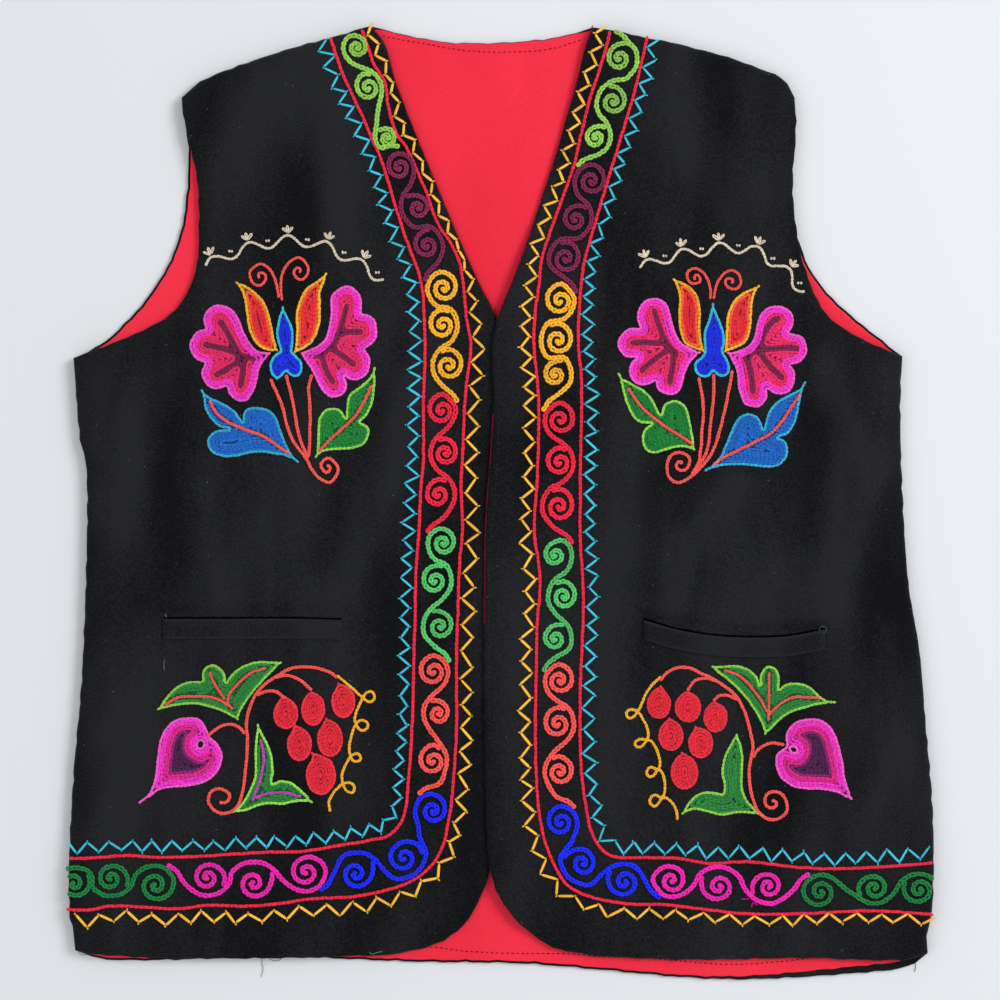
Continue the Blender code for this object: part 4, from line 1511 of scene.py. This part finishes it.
LEFT_FLOWER = {
    "near_blossom": [
        (726.5, 352.5), (736, 351.5), (746.5, 347), (752.5, 340), (755, 331.5), (756.5, 323),
        (760, 314.5), (766, 308.5), (775, 306), (783.5, 307), (790.5, 312), (793, 319.5),
        (792, 327.5), (787.5, 333), (793.5, 334), (800.5, 336), (805, 342), (806.5, 349),
        (805, 356.5), (799.5, 362.5), (792, 365), (788.5, 365), (793, 369.5), (794.5, 376.5),
        (793.5, 385), (788.5, 392), (780, 395), (772, 393), (766, 388.5), (767, 395.5),
        (764.5, 402), (758.5, 407.5), (752.5, 407.5), (744.5, 405), (740.5, 397), (737.5, 386.5),
        (737, 376.5), (735, 367.5), (731.5, 361), (728.5, 355.5),
    ],
    "far_blossom": [
        (700.5, 352.5), (691.5, 349), (681, 343), (676, 335), (672.5, 324.5), (669.5, 312.5),
        (666.5, 304), (660.5, 299.5), (654, 298.5), (646.5, 299.5), (640.5, 305), (637, 312.5),
        (637, 321.5), (640.5, 328.5), (632.5, 328), (626, 330), (620, 336), (617, 343.5),
        (619, 350.5), (624, 356.5), (631, 358), (637, 357.5), (631, 362.5), (628.5, 369.5),
        (629.5, 376.5), (633.5, 382.5), (640.5, 385.5), (648, 384.5), (653.5, 382.5),
        (656, 380.5), (656, 386.5), (659.5, 392), (666.5, 394.5), (674, 395), (680, 390),
        (682.5, 383), (684.5, 374.5), (688, 366), (693, 359), (697.5, 355),
    ],
    "near_petal": [
        (759.5, 285.5), (750, 289.5), (737.5, 296.5), (730, 306), (726.5, 318), (725.5, 330),
        (725, 342), (724, 352.5), (732.5, 349), (743, 345), (749, 336), (751, 324.5),
        (751.5, 311), (753, 299), (756, 291),
    ],
    "far_petal": [
        (672.5, 279), (682.5, 282.5), (691.5, 288.5), (697.5, 297), (700, 307.5), (700, 321.5),
        (700, 335), (702.5, 347), (704, 352), (694.5, 349), (686, 345.5), (681, 336.5),
        (678.5, 324.5), (678, 311), (679, 299), (677.5, 289.5), (675, 283.5),
    ],
    "heart": [
        (712.5, 303), (715.5, 312.5), (720.5, 323), (724, 333.5), (724.5, 343.5), (722.5, 352),
        (726.5, 358.5), (729.5, 366), (729, 373), (724, 377), (718, 376.5), (712.5, 371),
        (709.5, 376.5), (703.5, 378), (696.5, 374.5), (693.5, 367.5), (695.5, 361),
        (701.5, 356.5), (704, 350.5), (703, 340), (704, 330), (707.5, 321.5), (710, 312.5),
    ],
    "blue_leaf": [
        (805, 381.5), (798, 390), (786, 396), (774, 404), (768, 412.5), (764.5, 423),
        (763, 430.5), (759.5, 419.5), (753, 414.5), (746.5, 413.5), (738.5, 417), (733.5, 424.5),
        (729, 435), (724, 447), (719, 457.5), (710, 466), (704, 471), (720.5, 466), (737.5, 465),
        (755, 466.5), (770.5, 467.5), (781, 464), (787, 455.5), (787.5, 447), (783.5, 439),
        (776.5, 438), (786, 435), (792, 428), (796.5, 417.5), (799, 404), (801.5, 393.5),
    ],
    "blue_rib": [
        (799.5, 394.5), (789.5, 409), (779, 424.5), (768, 435), (751.5, 443.5), (734.5, 452),
        (720.5, 459), (713, 465),
    ],
    "green_leaf": [
        (618, 373), (623, 379), (632.5, 384), (643, 390), (651.5, 398.5), (657, 409),
        (660.5, 415.5), (663, 405.5), (668, 401.5), (676, 400), (684.5, 405.5), (688.5, 416),
        (691.5, 428), (693, 440), (694.5, 450.5), (686, 447.5), (674, 448), (663.5, 451),
        (653.5, 453.5), (645.5, 450.5), (642, 442.5), (642, 434), (646.5, 426.5), (652.5, 424),
        (640.5, 423), (632.5, 417), (627.5, 407.5), (624, 397), (621, 385),
    ],
    "green_rib": [
        (628, 388.5), (634.5, 398.5), (645, 411), (657, 420.5), (669, 429.5), (681, 436.5),
        (693, 445),
    ],
    "near_feeler": [
        (713.5, 299.5), (715, 289.5), (720.5, 277.5), (730, 270.5), (738.5, 275), (740.5, 283.5),
        (735, 289.5), (727.5, 287.5), (724.5, 282.5), (727.5, 278.5), (732.5, 280),
        (731.5, 283.5),
    ],
    "far_feeler": [
        (710, 299), (709.5, 287), (704, 274), (694.5, 268.5), (687.5, 272), (687, 279),
        (690.5, 283.5), (696.5, 284), (700, 281), (698, 275.5), (694, 275.5), (694.5, 280),
    ],
    "near_stem": [
        (732, 371), (728.5, 390), (724, 411), (719, 431.5), (712, 452), (701.5, 466),
        (691.5, 476), (679, 483), (669, 478), (666.5, 466), (670.5, 455.5), (680, 452.5),
        (688.5, 457.5), (688.5, 466), (682.5, 471), (676, 467.5), (677.5, 461.5), (682, 463.5),
    ],
    "middle_stem": [
        (713, 374.5), (713.5, 390), (712, 409), (709.5, 428), (708.5, 442), (703.5, 457.5),
        (694, 471),
    ],
    "far_stem": [
        (698.5, 378), (701.5, 395.5), (703, 412.5), (701.5, 429.5), (700.5, 447), (698, 462.5),
        (691.5, 474.5),
    ],
    "near_vein": [
        (744.5, 358.5), (751.5, 353), (759.5, 345.5), (763.5, 333.5), (769.5, 324),
        (777.5, 318.5),
    ],
    "near_vein_middle": [(759.5, 349), (772, 349), (786, 348), (796.5, 349)],
    "near_vein_lower": [(760, 354), (768, 364.5), (775.5, 372), (781, 378)],
    "near_vein_inner": [(748, 357.5), (749, 367.5), (751.5, 380), (752.5, 392)],
    "far_vein": [(676, 354), (669, 347), (663, 338.5), (659.5, 328), (656, 318), (654, 311)],
    "far_vein_middle": [(663.5, 343.5), (651.5, 343), (639.5, 342.5), (632.5, 343)],
    "far_vein_lower": [(666.5, 350.5), (657, 357.5), (648, 364.5), (641.5, 371)],
    "far_vein_inner": [(673, 354), (672.5, 366), (670.5, 376.5), (669.5, 383)],
}

# %% Stitch the flowers
BLOSSOM_BANDS = [(1.0, PALE_PINK), (DEEPEST, HOT_PINK)]
PETAL_BANDS = [
    (1.0, from_screen(252, 190, 45)), (2.6, from_screen(248, 98, 50)),
    (DEEPEST, from_screen(240, 40, 58)),
]
HEART_BANDS = [(1.0, SKY), (DEEPEST, from_screen(8, 46, 236))]
BLUE_LEAF_BANDS = [(1.0, from_screen(52, 178, 218)), (DEEPEST, from_screen(18, 110, 206))]
GREEN_LEAF_BANDS = [(1.0, from_screen(150, 220, 82)), (DEEPEST, from_screen(16, 140, 56))]
PETAL_EDGE = 1.95 * MM
VEINS = ("vein", "vein_middle", "vein_lower", "vein_inner")


def flower_rows(shapes):
    near_veins = [shapes["near_" + name] for name in VEINS]
    far_veins = [shapes["far_" + name] for name in VEINS]
    rows = [
        filling(shapes["near_blossom"], BLOSSOM_BANDS, veins=near_veins),
        filling(shapes["far_blossom"], BLOSSOM_BANDS, veins=far_veins),
        filling(shapes["near_petal"], PETAL_BANDS, edge=PETAL_EDGE),
        filling(shapes["far_petal"], PETAL_BANDS, edge=PETAL_EDGE),
        filling(shapes["heart"], HEART_BANDS),
        filling(shapes["blue_leaf"], BLUE_LEAF_BANDS, [shapes["blue_rib"]]),
        filling(shapes["green_leaf"], GREEN_LEAF_BANDS, [shapes["green_rib"]]),
    ]
    for name in ("blue_rib", "green_rib"):
        rows.append(drawn(shapes[name], CORAL, 2.3 * MM, 0.1 * MM))
    for name in ("near_feeler", "far_feeler"):
        rows.append(drawn(shapes[name], CORAL, 2.0 * MM, 0.1 * MM))
    for name in ("near_stem", "middle_stem", "far_stem"):
        rows.append(drawn(shapes[name], CORAL, lift=0.2 * MM))
    return np.concatenate(rows)


stitch_motif("right_flower", flower_rows(RIGHT_FLOWER), right_front)
stitch_motif("left_flower", flower_rows(LEFT_FLOWER), left_front)

# %% [markdown]
# ## The grapes
# Below each pocket a vine starts in a paisley, carries six red grapes, and has a curled
# yellow tendril and two green leaves. It is stitched like the flower: fillings first, and
# then the stems and ribs as single lines of chain stitch.

# %% Grape outlines, in the photograph's pixels (x, y)
RIGHT_VINE = {
    "paisley": [
        (139.5, 802.5), (150, 792), (156, 774), (158, 757), (160, 743), (164, 731),
        (173, 721), (185, 717), (199, 718), (206, 726), (210, 736), (218, 743), (223, 754),
        (221, 766), (214, 776), (202, 783), (187, 786), (171, 787), (159, 790), (151, 796),
    ],
    "paisley_eye": [(201, 739.5), (204, 742), (204, 746), (201, 748.5), (198, 746), (198, 742)],
    "upper_leaf": [
        (158, 709.5), (168, 695), (182, 683), (195, 680.5), (203, 681), (203, 671),
        (207.5, 666), (214, 664), (221, 668), (226, 674), (226, 683), (232, 674),
        (242, 666), (257, 661), (273, 661.5), (282, 662), (271, 673), (257, 688),
        (245, 704), (240, 714), (238.5, 720), (226, 713), (211, 707), (194, 704),
        (178, 705),
    ],
    "upper_rib": [(166, 704), (178, 697), (194, 696), (213, 697), (228, 704), (233, 709)],
    "upper_rib_middle": [(210, 672), (216, 685), (225, 699)],
    "upper_rib_far": [(266, 668), (250.5, 673), (237, 685), (229, 695), (228, 704)],
    "lower_leaf": [
        (258, 723.5), (256, 738), (255, 757), (255, 774), (249, 791.5), (240, 805),
        (232, 812), (247, 810), (264, 804), (281.5, 804.5), (299, 801), (313, 802),
        (304, 791.5), (290, 781), (280, 780), (272, 783), (274, 767), (271, 750),
        (264, 735),
    ],
    "lower_rib": [(261, 739), (264, 757), (261, 778), (253, 800)],
    "lower_rib_far": [(256, 797), (268, 793), (285, 792), (300.5, 796)],
    "vine": [
        (338, 677), (328, 671), (312.5, 667), (292, 668), (275, 677), (259, 690),
        (251, 705), (247, 721), (248, 743), (246, 769), (243, 791.5), (237, 807),
        (226, 813), (216, 810.5), (209, 802), (211, 791.5), (221, 788), (230, 794),
        (227, 802), (220, 802),
    ],
    "paisley_stem": [(208, 736), (216, 729), (228, 724), (240, 727), (245, 733)],
    "twig": [(257, 695), (266, 691), (276, 691), (285, 698)],
    "twig_far": [(275, 677), (288, 675), (300.5, 680), (312, 690)],
    "tendril": [
        (337.5, 675), (349, 685), (362.5, 697), (370, 702), (375, 698), (373, 692),
        (367, 692), (362, 700), (357, 710), (355, 721), (361, 730), (368, 728), (367, 721),
        (360, 720), (354, 728), (350, 742), (350, 754), (354, 761), (361, 759),
        (359, 753), (352, 755), (346, 764), (342, 776), (345, 788), (352, 793), (355, 787),
        (350, 782), (342, 784), (334, 792), (329, 802), (330.5, 811),
    ],
}
LEFT_VINE = {
    "paisley": [
        (851.5, 799), (848, 789.5), (844.5, 777.5), (843, 764.5), (839.5, 749.5), (835.5, 736),
        (829.5, 725.5), (820.5, 719.5), (810.5, 718), (800.5, 719.5), (792.5, 723), (786.5, 731),
        (785, 739.5), (786, 746), (779, 750.5), (775.5, 756), (775.5, 766), (779, 776),
        (786, 782.5), (795.5, 787.5), (809, 789), (824, 789.5), (837, 792.5), (845.5, 796.5),
    ],
    "paisley_eye": [
        (790, 747), (793.5, 746.5), (796.5, 748.5), (795.5, 752), (792.5, 751.5), (790, 749.5),
    ],
    "upper_leaf": [
        (711, 666), (726, 665), (741, 665.5), (751, 670.5), (757.5, 678), (760, 686),
        (759.5, 676.5), (762.5, 669), (769, 665.5), (776, 667.5), (779, 676.5), (778.5, 690),
        (784, 684), (795.5, 682.5), (807.5, 685), (815.5, 691.5), (824, 699), (835.5, 702),
        (819, 704.5), (804, 708), (789, 713), (777.5, 721.5), (771.5, 728), (764.5, 734.5),
        (760, 721.5), (752.5, 708), (742.5, 694.5), (731, 683), (719.5, 674),
    ],
    "upper_rib": [
        (821.5, 698), (807.5, 697), (794, 696.5), (782.5, 701.5), (774, 709), (768.5, 714),
    ],
    "upper_rib_middle": [(768.5, 672.5), (768.5, 686.5), (768.5, 701.5), (768, 719.5)],
    "upper_rib_far": [
        (723.5, 670), (736, 674), (746, 681.5), (754.5, 691.5), (761, 700.5), (766.5, 711.5),
    ],
    "lower_leaf": [
        (736.5, 733.5), (741, 746), (742.5, 757.5), (742.5, 771), (742, 784.5), (744.5, 796),
        (752.5, 806), (763.5, 816.5), (754.5, 813.5), (736, 812.5), (723, 815), (709.5, 812.5),
        (694.5, 809), (681, 814), (687, 803.5), (696, 794), (708, 791), (723, 793.5),
        (723, 782.5), (721, 771), (723.5, 757.5), (728.5, 746),
    ],
    "vine": [
        (660, 680), (666.5, 672.5), (676.5, 667.5), (688, 667.5), (701, 673), (716, 680.5),
        (729.5, 690), (739.5, 701.5), (746, 716.5), (750, 733), (752.5, 746), (751, 756),
        (749, 766), (749, 782.5), (752, 797.5), (757.5, 811), (767.5, 818.5), (777.5, 818.5),
        (786, 811), (786, 801), (781, 793.5), (773.5, 791), (766, 794), (764, 801.5),
        (768.5, 807.5), (775, 806.5), (776, 801.5), (771, 800),
    ],
    "paisley_stem": [(783.5, 744.5), (772.5, 742.5), (762.5, 745.5), (756, 751), (752.5, 757)],
    "twig": [(737, 699), (728.5, 695.5), (719.5, 695), (713, 700.5)],
    "twig_far": [(714.5, 680), (704.5, 678), (694.5, 680), (687, 690)],
    "tendril": [
        (660.5, 676.5), (651.5, 685), (645.5, 693), (641.5, 703), (637.5, 710.5), (631.5, 709),
        (626, 712), (627.5, 717), (633, 717), (637.5, 711.5), (643, 719.5), (647.5, 729.5),
        (646.5, 739.5), (640, 738.5), (634.5, 741.5), (635.5, 746.5), (640, 747), (645, 742.5),
        (647.5, 739), (653.5, 743.5), (658, 753), (660, 762.5), (657.5, 769.5), (650.5, 766.5),
        (646, 771), (649, 777), (654, 774.5), (658, 768.5), (662, 772.5), (664.5, 782.5),
        (664, 792.5), (661, 797.5), (655, 794), (650, 797.5), (650, 804), (655.5, 806),
        (660, 800), (664.5, 796.5), (670.5, 801), (675.5, 809), (677, 819),
    ],
}
# Rows (centre x, centre y, half width, half height, tip x, tip y)
RIGHT_GRAPES = [
    (286, 713.5, 12.4, 15.5, 283, 694.5), (313.4, 709, 12, 16.5, 311.5, 690.5),
    (343.5, 701.3, 12, 16.5, 338, 682), (299.6, 744.1, 12.4, 17, 294.5, 723.5),
    (330.2, 738.8, 13, 18, 326, 717), (321, 774.8, 15, 20, 311.5, 751.5),
]
LEFT_GRAPES = [
    (658.6, 703.8, 12.3, 14.9, 660.6, 684.8), (687.6, 707.2, 13.3, 15.1, 685.5, 689.8),
    (715, 717.1, 12.3, 15.1, 712.8, 700.5), (670.5, 735.4, 12.6, 15.4, 668.9, 717.1),
    (700.4, 742.8, 12.6, 15.4, 694.6, 725.4), (684.1, 771.8, 13.8, 17.6, 681.3, 751.1),
]


def grape_outline(x, y, half_width, half_height, tip_x, tip_y):
    """An egg with a pointed top."""
    points = [(tip_x, tip_y)]
    for angle in np.linspace(38, 322, 12):
        turn = math.radians(angle)
        points.append((x + half_width * math.sin(turn), y - half_height * math.cos(turn)))
    return points


# %% Stitch the grapes
PAISLEY_BANDS = [
    (1.0, PALE_PINK), (4.2, HOT_PINK), (7.5, from_screen(230, 36, 150)),
    (9.5, from_screen(150, 30, 120)), (DEEPEST, from_screen(85, 20, 80)),
]
GRAPE_BANDS = [(1.0, from_screen(240, 48, 66)), (DEEPEST, from_screen(236, 36, 58))]
VINE_LEAF_BANDS = [(1.0, from_screen(150, 215, 78)), (DEEPEST, from_screen(40, 142, 62))]
UPPER_RIBS = ("upper_rib", "upper_rib_middle", "upper_rib_far")
LOWER_RIBS = ("lower_rib", "lower_rib_far")


def vine_rows(shapes, grapes, has_lower_ribs):
    upper = [shapes[name] for name in UPPER_RIBS]
    lower = [shapes[name] for name in LOWER_RIBS] if has_lower_ribs else []
    rows = [
        filling(shapes["paisley"], PAISLEY_BANDS, holes=[shapes["paisley_eye"]]),
        filling(shapes["upper_leaf"], VINE_LEAF_BANDS, upper),
        filling(shapes["lower_leaf"], VINE_LEAF_BANDS, lower),
    ]
    rows += [filling(grape_outline(*grape), GRAPE_BANDS) for grape in grapes]
    rows += [drawn(line, CORAL, 2.0 * MM, 0.1 * MM) for line in upper]
    rows += [drawn(line, VIOLET, 2.0 * MM, 0.1 * MM) for line in lower]
    for name in ("vine", "paisley_stem", "twig", "twig_far"):
        rows.append(drawn(shapes[name], CORAL, lift=0.2 * MM))
    rows.append(drawn(shapes["tendril"], GOLD, 2.0 * MM))
    return np.concatenate(rows)


stitch_motif("right_grapes", vine_rows(RIGHT_VINE, RIGHT_GRAPES, True), right_front)
stitch_motif("left_grapes", vine_rows(LEFT_VINE, LEFT_GRAPES, False), left_front)

# %% [markdown]
# ## The cream ornament over each flower
# A line of cream chain stitch bows over the flower. Here it is a plain running wave with a
# small three-leaf sprig on each crest and a dot in each hollow, worked in detached loops.

# %% Cream ornament
RIGHT_ARC = [(206, 266), (232, 254), (262, 245), (292, 241), (322, 246), (350, 259), (384, 280)]
LEFT_ARC = [(640, 268), (668, 258), (698, 252), (728, 248), (756, 252), (780, 268), (804, 292)]
ARC_WAVES = 5
WAVE_HEIGHT = 3.4 * MM
CREAM_WIDTH = 1.9 * MM
CREAM_THREAD = 0.45 * MM


def ornament_rows(arc):
    spine = smooth_curve(from_photo(arc), 0.6 * MM)
    turns = travelled(spine) / travelled(spine)[-1] * ARC_WAVES * 2 * math.pi
    wave = beside(spine, WAVE_HEIGHT * np.sin(turns))
    rows = [chain(wave, 2.4 * MM, CREAM_WIDTH, CREAM_THREAD, CREAM)]
    across = beside(spine, 1.0) - spine
    for i in range(ARC_WAVES):
        crest = np.argmin(abs(turns - (i + 0.25) * 2 * math.pi))
        hollow = np.argmin(abs(turns - (i + 0.75) * 2 * math.pi))
        root = spine[crest] + across[crest] * (WAVE_HEIGHT + 1.6 * MM)
        for lean in (-0.8, 0, 0.8):
            cos, sin = math.cos(lean), math.sin(lean)
            way = np.array([[cos, -sin], [sin, cos]]) @ across[crest]
            leaf = np.array([root, root + way * 5 * MM])
            rows.append(chain(leaf, 5 * MM, 2.2 * MM, CREAM_THREAD, CREAM, overlap=1.1))
        dot = spine[hollow] + across[hollow] * 1.5 * MM
        for reach in (-0.8, 0.8):
            knot = np.array([dot + [reach * MM, -0.7 * MM], dot + [reach * MM, 0.7 * MM]])
            rows.append(chain(knot, 2 * MM, 1.6 * MM, CREAM_THREAD, CREAM, overlap=1.2))
    return np.concatenate(rows)


stitch_mesh("right_ornament", ornament_rows(RIGHT_ARC), right_front, fill_loop)
stitch_mesh("left_ornament", ornament_rows(LEFT_ARC), left_front, fill_loop)

# %% [markdown]
# ## Sewing thread and loose ends
# Plain running stitches hold the turned edges, and a few ends of thread were never cut.
# They are small, but a worn garment without them looks like a drawing.

# %% Running stitches
SEWING_THREAD = 0.22 * MM
CRIMSON = from_screen(150, 20, 45)
CHARCOAL = from_screen(62, 62, 66)
NECK_SEAM = [
    (381, 35), (406, 40), (426, 43.5), (446, 47), (464, 50), (500, 51.5), (548, 49),
    (582, 39),
]
HEM_SEAM = [
    (423.6, 947.3), (437.9, 948.2), (464.6, 951.8), (509.3, 953.9), (568, 954.5), (598.6, 957),
    (648.6, 959), (670, 960.7), (700, 963.4), (733, 965), (776, 962.7), (810.5, 958.7), (836, 957),
]
LEFT_OPENING_SEAM = [(497, 330), (499, 400), (496, 480), (489, 560), (489, 640), (489, 740)]


def running(line, colour, stitch, gap, lift=0.0):
    """Separate straight stitches along a line."""
    path = smooth_curve(from_photo(line), 1 * MM)
    width = 2.4 * SEWING_THREAD
    rows = chain(path, stitch + gap, width, SEWING_THREAD, colour, lift, 1.0, 0.1 * MM)
    rows[:, 3] = stitch * rng.normal(1, 0.12, len(rows))
    return rows


def loose_end(line, colour, radius=0.2 * MM, lift=0.3 * MM):
    """A free end of thread that lies on the cloth."""
    path = smooth_curve(from_photo(line), 0.5 * MM)
    return chain(path, 1.2 * MM, 2.3 * radius, radius, colour, lift, 1.3, 0.05 * MM)


def lint(panel, count):
    """Short pale fibres caught in the pile, strewn at random over a panel."""
    low, high = panel.outline.points.min(0), panel.outline.points.max(0)
    rows = np.empty((count, COLUMNS))
    rows[:, :2] = rng.uniform(low, high, (count, 2))
    rows[:, 2] = rng.uniform(0, math.pi, count)
    rows[:, 3] = rng.uniform(0.5, 1.8, count) * MM
    rows[:, 4] = 0.4 * MM
    rows[:, 5] = rng.uniform(0.1, 0.17, count) * MM
    rows[:, 6] = 0.05 * MM
    rows[:, 7:10] = from_screen(105, 107, 112) * rng.uniform(0.4, 1.4, (count, 1))
    return rows


def ring_of(x, y, reach):
    """A small round of thread, in pixels, such as a tack at a pocket's end."""
    turns = np.linspace(0, 2 * math.pi, 9)
    return [(x + reach * math.cos(turn), y + reach * math.sin(turn)) for turn in turns]


def slit_shadow(slit):
    """Painted shadow in the opening over a pocket band: a line of black thread where there is only
    shade.
    """
    path = smooth_curve(np.array(slit) * MM, 1 * MM) + [0, 0.8 * MM]
    return chain(path, 2.5 * MM, 1.5 * MM, 0.4 * MM, (0, 0, 0), 0.1 * MM)


def lip(rows, side):
    """The cotton's fold that peeps out along an edge, drawn as a fine red line."""
    path = beside(smooth_curve(np.array(rows) * MM, 1 * MM), side * 0.15 * MM)
    return chain(path, 3 * MM, 0.75 * MM, 0.3 * MM, CRIMSON, 0.0, 1.5, 0.05 * MM)


TACK = from_screen(84, 90, 112)
PALE_THREAD = from_screen(150, 150, 155)
WINE = from_screen(105, 18, 58)
SEAM_STITCH = 2.2 * MM
SEAM_SPACE = 1.0 * MM
CURLED_THREAD = [(343, 616), (348, 611), (354, 610), (357, 613), (353, 617), (347, 618)]
back_rows = [running(seam, WINE, SEAM_STITCH, SEAM_SPACE) for seam in (NECK_SEAM, HEM_SEAM)]
stitch_mesh(
    "back_sewing_thread", np.concatenate(back_rows), back, plain_loop, 2.9 * MM,
    finish=sewing_cotton,
)
right_rows = [
    loose_end([(369.5, 952), (373, 953.2), (378, 951.4), (383, 951)], GREEN, 0.16 * MM),
    loose_end(CURLED_THREAD, CHARCOAL, 0.1 * MM),
    loose_end([(165.8, 613.5), (166.5, 616), (167, 618)], PALE_THREAD, 0.2 * MM),
    loose_end([(165.4, 659), (164.6, 664), (165.4, 670)], PALE_THREAD, 0.14 * MM),
    loose_end([(249, 624), (249.4, 631), (249, 638)], CHARCOAL, 0.15 * MM, 1.9 * MM),
    # A black line of painted shadow along the pocket slit.
    slit_shadow(RIGHT_SLIT),
    lint(right_front, 170),
]
stitch_mesh(
    "right_thread_and_slit_shadow", np.concatenate(right_rows), right_front, plain_loop,
    finish=sewing_cotton,
)
left_rows = [
    running(LEFT_OPENING_SEAM, CHARCOAL, 1.4 * MM, 1.8 * MM),
    loose_end([(741, 898), (744.5, 898.6), (748.5, 898)], MAGENTA, 0.3 * MM),
    loose_end([(751, 907), (752.5, 902), (757, 904.5)], MAGENTA, 0.3 * MM),
    loose_end([(697, 913), (698.5, 917), (697.5, 920)], from_screen(40, 60, 220), 0.35 * MM),
    loose_end([(938, 905), (939, 912), (936, 920)], GOLD, 0.3 * MM),
    loose_end(ring_of(822, 629.5, 3.6), TACK, 0.3 * MM, 1.2 * MM),
    loose_end([(823, 633), (823.5, 640), (823, 647)], CHARCOAL, 0.2 * MM, 1.2 * MM),
    # A black line of painted shadow along the pocket slit.
    slit_shadow(LEFT_SLIT),
    lint(left_front, 170),
]
stitch_mesh(
    "left_thread_and_slit_shadow", np.concatenate(left_rows), left_front, plain_loop,
    finish=sewing_cotton,
)

# %% Lips and loose threads
LIP_DEPTH = 1.75 * MM
FLOOR_BLACK = from_screen(40, 40, 44)
LIP_OPENING = [(-4.4, 56), (-6.4, 25), (-9, -10), (-9.9, -60), (-10, -76)]
left_lip = np.concatenate([lip(LEFT_NECKLINE, -1), lip(LIP_OPENING, -1)])
stitch_mesh(
    "right_lip", lip(RIGHT_NECKLINE, 1), right_front, plain_loop, LIP_DEPTH, False, sewing_cotton
)
stitch_mesh("left_lip", left_lip, left_front, plain_loop, LIP_DEPTH, False, sewing_cotton)
floor_rows = [
    loose_end([(261.5, 957), (261, 963), (262.4, 970), (260.4, 978.4)], FLOOR_BLACK, 0.15 * MM, 0),
    loose_end([(266, 958), (271, 961.5), (277, 962.5), (282, 959)], FLOOR_BLACK, 0.12 * MM, 0),
    loose_end([(76.5, 951), (79, 955.5), (84, 956.5), (88, 954)], FLOOR_BLACK, 0.12 * MM, 0),
    loose_end([(913, 960), (917, 966), (916, 973)], FLOOR_BLACK, 0.2 * MM, 0),
]
stitch_mesh(
    "loose_threads", np.concatenate(floor_rows), back, plain_loop, 0.2 * MM, False, sewing_cotton
)
